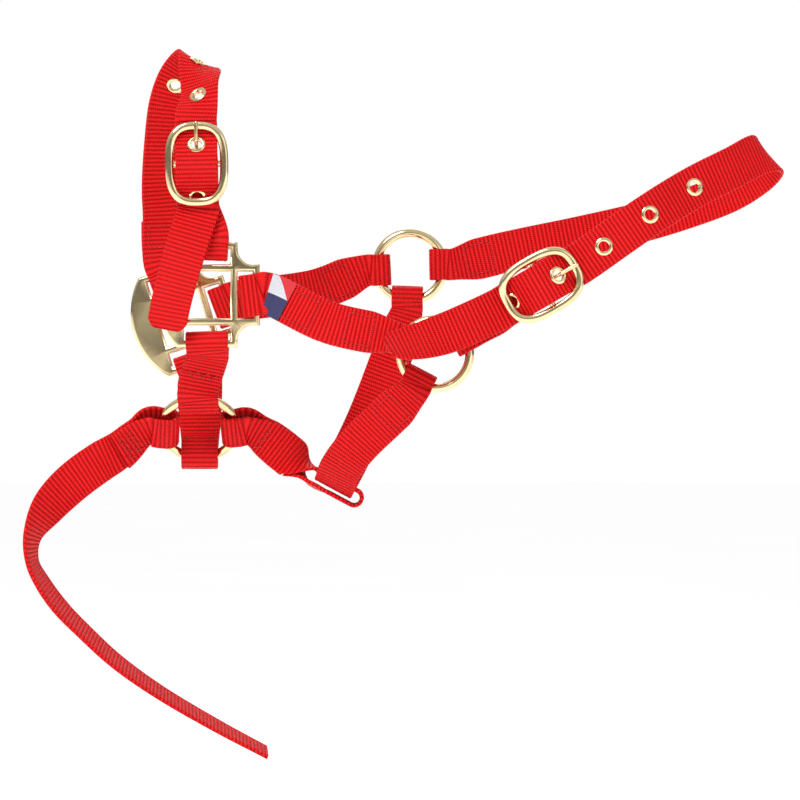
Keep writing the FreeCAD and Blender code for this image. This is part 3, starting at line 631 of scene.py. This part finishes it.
def connecting_route():
    cloth = webbing()
    flat = Vector((0.88, 0, -0.47)).normalized()
    reach = cloth.width / 2 + 2 * cloth.fit_gap
    return Strap("connecting_strap", [
        (CHIN_RING + LENGTHWISE * CHIN, -CHIN_UP), (CHIN_RING + LENGTHWISE * (CHIN + 7 * MM), -CHIN_UP),
        (at(-219, -0.5, -133.6), (-0.35, 0.05, -0.95)),
        (THROAT_LOW - flat * (reach + 2 * MM), -SIDE), (THROAT_LOW, -SIDE),
        (THROAT_LOW + flat * reach, -SIDE)],
        start=ring_eye(CHIN, CHIN_WIRE, CHIN_GATHER, loose=cloth.fit_gap),
        end=Eye(cloth.ply / 2 + LOOP_SLACK, slack=0.5 * MM, clear=2 * reach), whole=True)


def grab_route():
    return Strap("grab_strap", [
        (CHIN_RING - LENGTHWISE * CHIN, -CHIN_UP), (CHIN_RING - LENGTHWISE * (CHIN + 7 * MM), -CHIN_UP),
        (at(-293.5, -3, -133), (0.25, 0.4, -0.85)), (at(-303, -5, -138.5), (0.42, 0.25, -0.83)),
        (at(-315, -9, -147.5), (0.6, 0.3, -0.72)), (at(-325.5, -12, -158.5), (0.66, 0.6, -0.45)),
        (at(-332.5, -14, -171), (0.35, 0.93, -0.1)), (at(-332.8, -14, -183), (0.2, 0.98, 0.05)),
        (at(-328, -13, -193), (0.25, 0.95, 0.1)), (at(-320.5, -11.5, -203.5), (0.25, 0.95, 0.15)),
        (at(-311, -10, -213.5), (0.2, 0.96, 0.18)), (at(-295, -7, -228.5), (0.15, 0.97, 0.2)),
        (at(-275, -3, -243), (0.12, 0.98, 0.18)), (at(-250, 2, -258), (0.1, 0.98, 0.16)),
        (at(-227, 6, -270.5), (0.08, 0.99, 0.14))],
        start=ring_eye(CHIN, CHIN_WIRE, CHIN_GATHER, loose=LOOP_SLACK))


ROUTES = {
    "noseband_strap": noseband_route, "noseband_chape": noseband_chape_route,
    "near_cheek_strap": near_cheek_route, "far_cheek_strap": far_cheek_route,
    "crown_strap": crown_route, "crown_chape": crown_chape_route, "throat_strap": throat_route,
    "near_chin_strap": near_chin_route, "far_chin_strap": far_chin_route,
    "connecting_strap": connecting_route, "grab_strap": grab_route}


PUNCHED = {"noseband_strap": (NOSE_BAR, NOSE_ALONG), "crown_strap": (CROWN_BAR, CROWN_ALONG)}


def eyelet_places(strap, bar, along):
    """The eyelet on the tongue, one towards the billet's tip and three the other way."""
    in_use = strap.nearest(bar - SIDE * BAR_BACK + along * TONGUE_REACH)
    return [in_use + k * HOLE_PITCH for k in (1, 0, -1, -2, -3)]


# ------------------------------------------------------------------ materials
class Shading:
    """A node tree, with short ways to add nodes in front of its shader."""

    def __init__(self, owner, shader="Principled BSDF"):
        owner.use_nodes = True
        self.nodes, self.links = owner.node_tree.nodes, owner.node_tree.links
        self.shader = self.nodes[shader]

    def give(self, node, **inputs):
        """Values or other nodes' outputs for a node's inputs, with _ for the spaces in their names."""
        for name, value in inputs.items():
            self.put(node.inputs[name.replace("_", " ")], value)

    def put(self, target, value):
        if isinstance(value, bpy.types.NodeSocket):
            self.links.new(value, target)
        else:
            target.default_value = value

    def coordinates(self, kind="Object"):
        return self.nodes.new("ShaderNodeTexCoord").outputs[kind]

    def split(self, source):
        node = self.nodes.new("ShaderNodeSeparateXYZ")
        self.put(node.inputs[0], source)
        return node.outputs

    def mapped(self, name):
        """Along and across, from the piece's own map."""
        node = self.nodes.new("ShaderNodeUVMap")
        node.uv_map = name
        return self.split(node.outputs[0])[:2]

    def maths(self, operation, *values):
        node = self.nodes.new("ShaderNodeMath")
        node.operation = operation
        for slot, value in enumerate(values):
            self.put(node.inputs[slot], value)
        return node.outputs[0]

    def ridges(self, phase):
        """Rounded ridges, one for each half turn of the phase."""
        return self.maths("ABSOLUTE", self.maths("SINE", phase))

    def ramp(self, source, *stops):
        node = self.nodes.new("ShaderNodeValToRGB")
        elements = node.color_ramp.elements
        elements[0].position, elements[0].color = stops[0][0], (*stops[0][1], 1)
        elements[1].position, elements[1].color = stops[-1][0], (*stops[-1][1], 1)
        for position, colour in stops[1:-1]:
            elements.new(position).color = (*colour, 1)
        self.put(node.inputs[0], source)
        return node.outputs[0]

    def noise(self, coordinates, scale, detail):
        node = self.nodes.new("ShaderNodeTexNoise")
        self.give(node, Scale=scale, Detail=detail, Vector=coordinates)
        return node.outputs["Fac"]

    def mix(self, factor, first, second):
        node = self.nodes.new("ShaderNodeMix")
        node.data_type = "RGBA"
        for slot, value in ((0, factor), (6, first), (7, second)):
            self.put(node.inputs[slot], value)
        return node.outputs[2]

    def bump(self, height, strength, distance):
        node = self.nodes.new("ShaderNodeBump")
        self.give(node, Strength=strength, Distance=distance, Height=height)
        self.give(self.shader, Normal=node.outputs[0])


def material(name, dress, **options):
    """The material of this name, dressed the first time that it is asked for."""
    found = bpy.data.materials.get(name)
    if not found:
        found = bpy.data.materials.new(name)
        dress(Shading(found), **options)
    return found


KNUCKLE = 0.95 * MM
# Painted highlight on the rib tops: the dyed colour made brighter and paler.
HIGHLIGHT_GAIN, HIGHLIGHT_LIFT = 1.35, 0.012


def nylon_webbing(look):
    """Ribbed nylon: knuckles of yarn across each rib, painted shade in the grooves and a painted highlight on rib
    and knuckle tops, a random mottle, a soft sheen.
    """
    cloth = webbing()
    along, across = look.mapped("weave")
    rib = look.ridges(look.maths("MULTIPLY", along, math.pi / cloth.rib_pitch))
    row = look.maths("FLOOR", look.maths("DIVIDE", along, cloth.rib_pitch))
    turned = look.maths("MULTIPLY", row, math.pi / 2)
    knuckle = look.ridges(look.maths("MULTIPLY_ADD", across, math.pi / KNUCKLE, turned))
    place = look.coordinates()
    fibre, cloud = look.noise(place, 2600, 2), look.noise(place, 38, 3)
    relief = look.maths("MULTIPLY_ADD", knuckle, rib, rib)
    height = look.maths("MULTIPLY_ADD", relief, 0.70, look.maths("MULTIPLY", fibre, 0.22))
    # Painted shade and highlight: colour follows the relief, darker in the grooves and lighter on rib and knuckle
    # tops, plus a random mottle.
    relief_shade_and_mottle = look.maths("MULTIPLY_ADD", height, 0.62, look.maths("MULTIPLY", cloud, 0.22))
    painted_rib_highlight = [min(c * HIGHLIGHT_GAIN + HIGHLIGHT_LIFT, 1) for c in cloth.colour]
    look.give(look.shader,
              Base_Color=look.ramp(relief_shade_and_mottle, (0.15, cloth.groove_painted_shade), (0.60, cloth.colour), (0.98, painted_rib_highlight)),
              Roughness=look.maths("MULTIPLY_ADD", fibre, 0.22, 0.40),
              Sheen_Weight=0.04, Sheen_Roughness=0.4, Sheen_Tint=(1.0, 0.05, 0.05, 1),
              Specular_IOR_Level=0.14)
    look.bump(height, 0.9, 0.30 * MM)


def sewing_thread(look):
    """Twisted red thread, a little darker than the webbing."""
    twist = look.noise(look.coordinates(), 3500, 1)
    look.give(look.shader, Roughness=0.45, Base_Color=look.ramp(
        twist, (0.3, (0.32, 0.001, 0.004)), (0.7, (0.60, 0.004, 0.010))))
    look.bump(twist, 0.4, 0.05 * MM)


def polished_brass(look, tint=1.0):
    """Pale brass plate: clouded polish, fine buffing marks and soft wear."""
    metal = hardware()
    place = look.coordinates()
    cloud = look.noise(place, 110, 4)
    stretched = look.nodes.new("ShaderNodeMapping")
    look.give(stretched, Scale=(1, 1, 9), Vector=place)
    buffing = look.noise(stretched.outputs[0], 900, 2)
    light = [min(c * tint, 1) for c in metal.brass]
    look.give(look.shader, Metallic=1.0,
              Base_Color=look.ramp(cloud, (0.25, metal.worn), (0.62, light)),
              Roughness=look.maths("MULTIPLY_ADD", buffing, 0.10, metal.gloss - 0.05))
    look.bump(look.maths("ADD", buffing, cloud), 0.08, 0.05 * MM)


def woven_tag_cloth(look):
    """White satin tag with a navy field and a red corner, woven in fine rows."""
    along, across = look.mapped("tag")
    thread = look.noise(look.coordinates(), 2400, 2)
    navy = look.maths("GREATER_THAN", across, 0.46)
    corner = look.maths("GREATER_THAN", look.maths("MULTIPLY_ADD", across, -1.6, along), 0.22)
    white = look.ramp(thread, (0.3, (0.50, 0.50, 0.56)), (0.7, (0.70, 0.70, 0.74)))
    field = look.ramp(thread, (0.3, (0.010, 0.010, 0.05)), (0.7, (0.025, 0.025, 0.14)))
    blocks = look.mix(navy, look.mix(corner, white, (0.62, 0.01, 0.02, 1)), field)
    look.give(look.shader, Base_Color=blocks, Roughness=0.5, Sheen_Weight=0.2)
    rows = look.ridges(look.maths("MULTIPLY", across, math.pi * 46))
    look.bump(look.maths("ADD", rows, thread), 0.5, 0.08 * MM)


def pale_paint(look):
    """White floor that glows a little, so that it meets the sky without an edge."""
    cloud = look.noise(look.coordinates(), 3, 2)
    look.give(look.shader, Roughness=0.9, Emission_Color=(1, 1, 1, 1), Emission_Strength=0.45,
              Base_Color=look.ramp(cloud, (0.3, (0.90, 0.90, 0.90)), (0.7, (0.93, 0.93, 0.93))))


# ------------------------------------------------------------------ stitching
THREAD = 0.34 * MM
STITCH = 2.3 * MM
STITCH_FILL = 0.94
STITCH_BLUNT = 0.06
STITCH_BOW, STITCH_SUNK, STITCH_FLATNESS = 0.55, 0.35, 0.8
STITCH_SINK = 0.02 * MM
SEAM_MARGIN = 2.9 * MM
SEAM_TEETH = 6

# Strap, kind of seam, and where it starts and ends, in millimetres from the strap's end.
START_SEAMS = (
    ("near_cheek_strap", "box", 15, 30), ("far_cheek_strap", "box", 15, 30), ("crown_strap", "box", 11, 23),
    ("noseband_strap", "box", 12, 22), ("throat_strap", "box", 12, 23), ("crown_chape", "zigzag", 13, 16),
    ("noseband_chape", "zigzag", 13, 16), ("connecting_strap", "zigzag", 13, 16),
    ("near_chin_strap", "zigzag", 15, 19), ("far_chin_strap", "zigzag", 14, 18))
END_SEAMS = (
    ("near_cheek_strap", "box", 14, 26), ("far_cheek_strap", "box", 14, 26), ("throat_strap", "box", 12, 23))
GRAB_SEAMS = (("grab_strap", "zigzag", 14, 18), ("grab_strap", "zigzag", 19, 22))


def stitch_shape(sides=6, rows=6):
    """One stitch: a short bowed thread lying along X, standing up along Z."""
    verts, faces = [], []
    for i in range(rows):
        share = i / (rows - 1)
        bow = 1 - (2 * share - 1) ** 2
        x = (share - 0.5) * STITCH * STITCH_FILL
        thick = THREAD * math.sqrt(max(bow, STITCH_BLUNT))
        lift = THREAD * STITCH_BOW * bow - THREAD * STITCH_SUNK
        for k in range(sides):
            turn = 2 * math.pi * k / sides
            verts.append(Vector((x, thick * math.cos(turn), lift + thick * STITCH_FLATNESS * math.sin(turn))))
    for i in range(rows - 1):
        for k in range(sides):
            after = (k + 1) % sides
            faces.append((i * sides + k, i * sides + after, (i + 1) * sides + after, (i + 1) * sides + k))
    faces.append(tuple(reversed(range(sides))))
    faces.append(tuple((rows - 1) * sides + k for k in range(sides)))
    return verts, faces


def seam_path(kind, near, far, half):
    """Corners of a seam on the flat strap: (along, across)."""
    if kind == "box":
        return [(near, -half), (far, -half), (far, half), (near, half), (near, -half)]
    return [(near + (far - near) * (k % 2), -half + 2 * half * k / SEAM_TEETH)
            for k in range(SEAM_TEETH + 1)]


def sew(name, seams, body):
    """All the stitches of several seams, on both faces, as one mesh of thread."""
    cloth = webbing()
    shape, shape_faces = stitch_shape()
    verts, faces = [], []
    for strap, kind, near, far in seams:
        corners = seam_path(kind, near, far, cloth.width / 2 - SEAM_MARGIN)
        for layer in (strap.outer, strap.under):
            for (s0, v0), (s1, v1) in zip(corners, corners[1:]):
                count = max(round(math.hypot(s1 - s0, v1 - v0) / STITCH), 1)
                for k in range(count):
                    share = (k + 0.5) / count
                    s, v = s0 + (s1 - s0) * share, v0 + (v1 - v0) * share
                    point, tangent, width, normal = layer(s)
                    heading = (tangent * (s1 - s0) + width * (v1 - v0)).normalized()
                    turn = Matrix((heading, normal.cross(heading), normal)).transposed()
                    place = point + width * v + normal * (cloth.ply / 2 - STITCH_SINK)
                    base = len(verts)
                    verts += [place + turn @ p for p in shape]
                    faces += [tuple(base + i for i in f) for f in shape_faces]
    made = new_mesh(name, verts, faces)
    made.data.polygons.foreach_set("use_smooth", [True] * len(faces))
    return finish_piece(made, body, material("sewing_thread", sewing_thread), "webbing")


# ------------------------------------------------------------------ hardware
CAST_ANGLE = 40
EYELET_ANGLE = 50
EYELET_SIDES = 48
FRAME_SQUARENESS = 2.9
FRAME_BOW = 0.5 * MM


def brass():
    return material("polished_brass", polished_brass)


def turned_ring(name, node, body, centre, axis, radius, wire):
    """A ring of round wire."""
    bpy.ops.object.select_all(action="DESELECT")
    bpy.ops.mesh.primitive_torus_add(
        major_segments=144, minor_segments=32, major_radius=radius, minor_radius=wire,
        location=centre, rotation=axis.to_track_quat("Z", "Y").to_euler())
    made = bpy.context.object
    made.name = name
    bpy.ops.object.shade_smooth()
    bpy.ops.object.transform_apply(location=True, rotation=True, scale=True)
    return finish_piece(made, body, brass(), "hardware", node)


def cast_copy(node, body):
    """A casting's own shape with its facets joined and shaded as one polished surface."""
    source = frame["nodes"][node]
    made = bpy.data.objects.new(node + "_polished", source.data.copy())
    bpy.context.collection.objects.link(made)
    select_only(made)
    bpy.ops.object.mode_set(mode="EDIT")
    bpy.ops.mesh.select_all(action="SELECT")
    bpy.ops.mesh.remove_doubles(threshold=0.01 * MM)
    bpy.ops.object.mode_set(mode="OBJECT")
    bpy.ops.object.shade_smooth_by_angle(angle=math.radians(CAST_ANGLE))
    return finish_piece(made, body, brass(), "hardware", node)


def rounded_frame(name, node, body, bar, along):
    """A buckle frame of soft oval wire with its centre bar, bent from a ring and a rod."""
    rim, unit_wire, power = BUCKLE_RIM / 2, 0.1, FRAME_SQUARENESS
    half_x, half_z = webbing().width / 2 + MM + rim, BUCKLE_LENGTH / 2 - rim
    across, centre = SIDE.cross(along), bar - SIDE * BAR_BACK
    bpy.ops.object.select_all(action="DESELECT")
    bpy.ops.mesh.primitive_torus_add(
        major_segments=120, minor_segments=28, major_radius=1, minor_radius=unit_wire)
    made = bpy.context.object
    made.name = name
    for vertex in made.data.vertices:
        turn = math.atan2(vertex.co.y, vertex.co.x)
        reach = (math.hypot(vertex.co.x, vertex.co.y) - 1) / unit_wire
        lift = vertex.co.z / unit_wire
        flat = (abs(math.cos(turn)) ** power + abs(math.sin(turn)) ** power) ** (-1 / power)
        x, z = half_x * flat * math.cos(turn), half_z * flat * math.sin(turn)
        out = Vector((math.copysign(abs(x / half_x) ** (power - 1), x) / half_x,
                      math.copysign(abs(z / half_z) ** (power - 1), z) / half_z)).normalized()
        bow = FRAME_BOW * math.cos(2 * turn)
        vertex.co = (centre + across * (x + out.x * rim * reach) + along * (z + out.y * rim * reach)
                     - SIDE * (lift * (BUCKLE_THICK / 2 - abs(bow)) + bow))
    select_only(made)
    bpy.ops.object.shade_smooth()
    bpy.ops.object.select_all(action="DESELECT")
    bpy.ops.mesh.primitive_cylinder_add(
        vertices=40, radius=BUCKLE_BAR / 2, depth=2 * half_x, location=bar,
        rotation=across.to_track_quat("Z", "Y").to_euler())
    bpy.ops.object.shade_smooth_by_angle(angle=math.radians(CAST_ANGLE))
    bpy.ops.object.transform_apply(location=True, rotation=True, scale=True)
    made.select_set(True)
    bpy.context.view_layer.objects.active = made
    bpy.ops.object.join()
    face_outward(made)
    return finish_piece(made, body, brass(), "hardware", node)


def eyelet_profile():
    """Outline of a set eyelet from its barrel out over the rolled flange: (radius, height)."""
    hole, outer = EYELET_HOLE / 2, EYELET_OUTER / 2
    top = webbing().ply / 2
    rise = EYELET_FLANGE
    upper = [(hole, 0.0), (hole, top * 0.7), (hole + 0.12 * MM, top + rise * 0.75),
             (hole + 0.45 * MM, top + rise * 1.05), (hole + 0.85 * MM, top + rise),
             (outer - 0.3 * MM, top + rise * 0.5),
             (outer, top + rise * 0.1), (outer - 0.05 * MM, top - 0.04 * MM)]
    inner = [(hole + EYELET_WALL, top - 0.04 * MM), (hole + EYELET_WALL, 0.0)]
    return upper + inner


def eyelets(name, node, strap, places):
    """Every eyelet of one strap, turned from one outline on both faces."""
    half = eyelet_profile()
    outline = half + [(r, -z) for r, z in reversed(half[1:-1])]
    count = len(outline)
    verts, faces = [], []
    for along in places:
        point, _, _, normal = strap.outer(along)
        turn = normal.to_track_quat("Z", "Y")
        base = len(verts)
        for k in range(EYELET_SIDES):
            angle = 2 * math.pi * k / EYELET_SIDES
            for radius, height in outline:
                spot = Vector((radius * math.cos(angle), radius * math.sin(angle), height))
                verts.append(point + turn @ spot)
        for k in range(EYELET_SIDES):
            here, after = base + k * count, base + (k + 1) % EYELET_SIDES * count
            for i in range(count):
                j = (i + 1) % count
                faces.append((here + i, here + j, after + j, after + i))
    made = new_mesh(name, verts, faces)
    face_outward(made)
    bpy.ops.object.shade_smooth_by_angle(angle=math.radians(EYELET_ANGLE))
    return finish_piece(
        made, "root", material("eyelet_brass", polished_brass, tint=1.05), "eyelet", node)


# ------------------------------------------------------------------ operators
class HALTER_OT_straps(bpy.types.Operator):
    """Weave every sewn strap of the head and chin"""

    bl_idname = "halter.straps"
    bl_label = "Straps"

    def execute(self, context):
        nylon = material("nylon_webbing", nylon_webbing)
        for node, route in ROUTES.items():
            strap = route()
            holes = eyelet_places(strap, *PUNCHED[node]) if node in PUNCHED else ()
            made = weave(strap, node + "_webbing", holes)
            finish_piece(made, "grab" if node == "grab_strap" else "root", nylon, "webbing", node)
        return {"FINISHED"}


class HALTER_OT_stitching(bpy.types.Operator):
    """Sew the turned-back ends"""

    bl_idname = "halter.stitching"
    bl_label = "Stitching"

    def execute(self, context):
        straps = {node: route() for node, route in ROUTES.items()}
        seams = [(straps[node], kind, near * MM, far * MM) for node, kind, near, far in START_SEAMS]
        for node, kind, near, far in END_SEAMS:
            end = straps[node].length
            seams.append((straps[node], kind, end - far * MM, end - near * MM))
        sew("halter_stitching", seams, "root")
        sew("grab_stitching", [(straps[node], kind, near * MM, far * MM)
                               for node, kind, near, far in GRAB_SEAMS], "grab")
        return {"FINISHED"}


class HALTER_OT_eyelets(bpy.types.Operator):
    """Set the brass eyelets in the noseband and the crown"""

    bl_idname = "halter.eyelets"
    bl_label = "Eyelets"

    def execute(self, context):
        for node, places in PUNCHED.items():
            strap = ROUTES[node]()
            name = node.replace("strap", "eyelets")
            eyelets(name + "_set", name, strap, eyelet_places(strap, *places))
        return {"FINISHED"}


class HALTER_OT_rings(bpy.types.Operator):
    """Form the jaw rings and the chin ring"""

    bl_idname = "halter.rings"
    bl_label = "Rings"

    def execute(self, context):
        turned_ring("near_jaw_ring_wire", "near_jaw_ring", "near_ring", NEAR_RING, SIDE, JAW, JAW_WIRE)
        turned_ring("far_jaw_ring_wire", "far_jaw_ring", "far_ring", FAR_RING, SIDE, JAW, JAW_WIRE)
        turned_ring("chin_ring_wire", "chin_ring", "lead_ring", CHIN_RING, CHIN_AXIS, CHIN, CHIN_WIRE)
        return {"FINISHED"}


class HALTER_OT_castings(bpy.types.Operator):
    """Polish the squares, buckle frames and tongues"""

    bl_idname = "halter.castings"
    bl_label = "Castings"

    def execute(self, context):
        rounded_frame("noseband_buckle_oval", "noseband_buckle_frame", "nose_frame", NOSE_BAR, NOSE_ALONG)
        rounded_frame("crown_buckle_oval", "crown_buckle_frame", "crown_frame", CROWN_BAR, CROWN_ALONG)
        for node, body in (("near_halter_square", "root"), ("far_halter_square", "root"),
                           ("noseband_buckle_tongue", "nose_tongue"), ("crown_buckle_tongue", "crown_tongue")):
            cast_copy(node, body)
        return {"FINISHED"}


class HALTER_OT_tag(bpy.types.Operator):
    """Lay the folded tag over the near cheek strap"""

    bl_idname = "halter.tag"
    bl_label = "Woven tag"

    START, LENGTH, THICK = 6 * MM, 10 * MM, 0.5 * MM
    INSET, CLEAR = 0.2 * MM, 0.12 * MM
    BELLY, LIP = 0.25 * MM, 0.5 * MM

    def execute(self, context):
        strap = near_cheek_route()
        cloth = webbing()
        half = cloth.width / 2 - self.INSET
        columns, rows = 12, 22
        verts, uv_of = [], []
        for lift in (0.0, self.THICK):
            for i in range(columns + 1):
                for k in range(rows + 1):
                    s_share, v_share = i / columns, k / rows
                    point, _, width, normal = strap.outer(self.START + self.LENGTH * s_share)
                    v = half * (2 * v_share - 1)
                    curl = self.BELLY * math.sin(math.pi * s_share) + self.LIP * (1 - s_share) ** 2
                    height = cloth.ply / 2 + self.CLEAR + lift + curl
                    verts.append(point + width * v + normal * height)
                    uv_of.append((s_share, v_share))
        stride, layer = rows + 1, (columns + 1) * (rows + 1)
        faces = []
        for i in range(columns):
            for k in range(rows):
                a = i * stride + k
                quad = (a, a + 1, a + stride + 1, a + stride)
                faces.append(quad)
                faces.append(tuple(layer + n for n in reversed(quad)))
        rim = ([(i * stride, (i + 1) * stride) for i in range(columns)]
               + [(columns * stride + k, columns * stride + k + 1) for k in range(rows)]
               + [((i + 1) * stride + rows, i * stride + rows) for i in range(columns)]
               + [(k + 1, k) for k in range(rows)])
        faces += [(b, a, a + layer, b + layer) for a, b in rim]
        made = new_mesh("folded_tag", verts, faces)
        layer_uv = made.data.uv_layers.new(name="tag")
        for loop in made.data.loops:
            layer_uv.data[loop.index].uv = uv_of[loop.vertex_index]
        face_outward(made)
        bpy.ops.object.shade_smooth_by_angle(angle=math.radians(45))
        finish_piece(made, "root", material("woven_tag_cloth", woven_tag_cloth), "tag", "woven_tag")
        return {"FINISHED"}


class HALTER_OT_stage(bpy.types.Operator):
    """Lay the floor and set the lights and the camera"""

    bl_idname = "halter.stage"
    bl_label = "Stage"

    FLOOR = 30
    AIM = Vector((-166.4, 0, -110)) * MM
    SENSOR = 36.0
    LIGHTS = (("key_light", (-0.75, -1.1, 1.5), 0.8, 26), ("fill_light", (1.3, -1.3, 0.35), 1.2, 4),
              ("rim_light", (0.2, 1.5, 1.1), 1.0, 5))

    def execute(self, context):
        stage = context.scene.halter_stage
        low, high = CAD_BOX
        middle = (low + high) / 2
        bpy.ops.object.select_all(action="DESELECT")
        bpy.ops.mesh.primitive_plane_add(size=self.FLOOR, location=(middle.x, middle.y, low.z - stage.floor_drop))
        floor = context.object
        floor.name = "floor"
        floor.data.materials.append(material("pale_paint", pale_paint))
        self.sky()
        context.scene.view_settings.view_transform = "Standard"
        for name, place, size, power in self.LIGHTS:
            bpy.ops.object.light_add(type="AREA", location=middle + Vector(place))
            lamp = context.object
            lamp.name = name
            lamp.data.size = size
            lamp.data.energy = power
            lamp.rotation_euler = (-Vector(place)).to_track_quat("-Z", "Y").to_euler()
        self.camera(context, stage)
        return {"FINISHED"}

    @staticmethod
    def sky():
        """White to the eye, with a studio's darker lower half for the metal to mirror."""
        world = bpy.data.worlds.new("studio")
        bpy.context.scene.world = world
        look = Shading(world, "Background")
        look.give(look.shader, Color=(1, 1, 1, 1), Strength=1.0)
        remap = look.nodes.new("ShaderNodeMapRange")
        look.give(remap, From_Min=-1, Value=look.split(look.coordinates("Generated"))[2])
        lit = look.nodes.new("ShaderNodeBackground")
        greys = look.ramp(remap.outputs[0], (0.30, (0.50,) * 3), (0.48, (0.10,) * 3), (0.72, (1,) * 3))
        look.give(lit, Color=greys, Strength=0.62)
        choose = look.nodes.new("ShaderNodeMixShader")
        seen_by_eye = look.nodes.new("ShaderNodeLightPath").outputs["Is Camera Ray"]
        for slot, source in enumerate((seen_by_eye, lit.outputs[0], look.shader.outputs[0])):
            look.put(choose.inputs[slot], source)
        look.give(look.nodes["World Output"], Surface=choose.outputs[0])

    def camera(self, context, stage):
        distance = stage.view_width / 2 / (self.SENSOR / 2 / stage.lens)
        bpy.ops.object.camera_add(location=self.AIM - SIDE * distance, rotation=(math.radians(90), 0, 0))
        camera = context.object
        camera.data.lens = stage.lens
        camera.data.sensor_width = self.SENSOR
        camera.data.clip_end = 100
        context.scene.camera = camera


class HALTER_PT_panel(bpy.types.Panel):
    """Lists the halter's pieces and their settings"""

    bl_label = "Foal Halter"
    bl_space_type = "VIEW_3D"
    bl_region_type = "UI"
    bl_category = "Halter"

    def draw(self, context):
        layout = self.layout
        for settings in (context.scene.halter_webbing, context.scene.halter_hardware,
                         context.scene.halter_stage):
            box = layout.box()
            for name in settings.bl_rna.properties.keys():
                if name not in {"rna_type", "name"}:
                    box.prop(settings, name)
        for operator in OPERATORS:
            layout.operator(operator.bl_idname)


OPERATORS = (HALTER_OT_stage, HALTER_OT_straps, HALTER_OT_stitching, HALTER_OT_eyelets, HALTER_OT_rings,
             HALTER_OT_castings, HALTER_OT_tag)
CLASSES = (WebbingSettings, HardwareSettings, StageSettings) + OPERATORS + (HALTER_PT_panel,)


def register():
    for cls in CLASSES:
        bpy.utils.register_class(cls)
    bpy.types.Scene.halter_webbing = bpy.props.PointerProperty(type=WebbingSettings)
    bpy.types.Scene.halter_hardware = bpy.props.PointerProperty(type=HardwareSettings)
    bpy.types.Scene.halter_stage = bpy.props.PointerProperty(type=StageSettings)


def unregister():
    del bpy.types.Scene.halter_stage
    del bpy.types.Scene.halter_hardware
    del bpy.types.Scene.halter_webbing
    for cls in reversed(CLASSES):
        bpy.utils.unregister_class(cls)


def main():
    register()
    bpy.ops.halter.stage()
    bpy.ops.halter.straps()
    bpy.ops.halter.stitching()
    bpy.ops.halter.eyelets()
    bpy.ops.halter.rings()
    bpy.ops.halter.castings()
    bpy.ops.halter.tag()


if __name__ == "__main__":
    main()
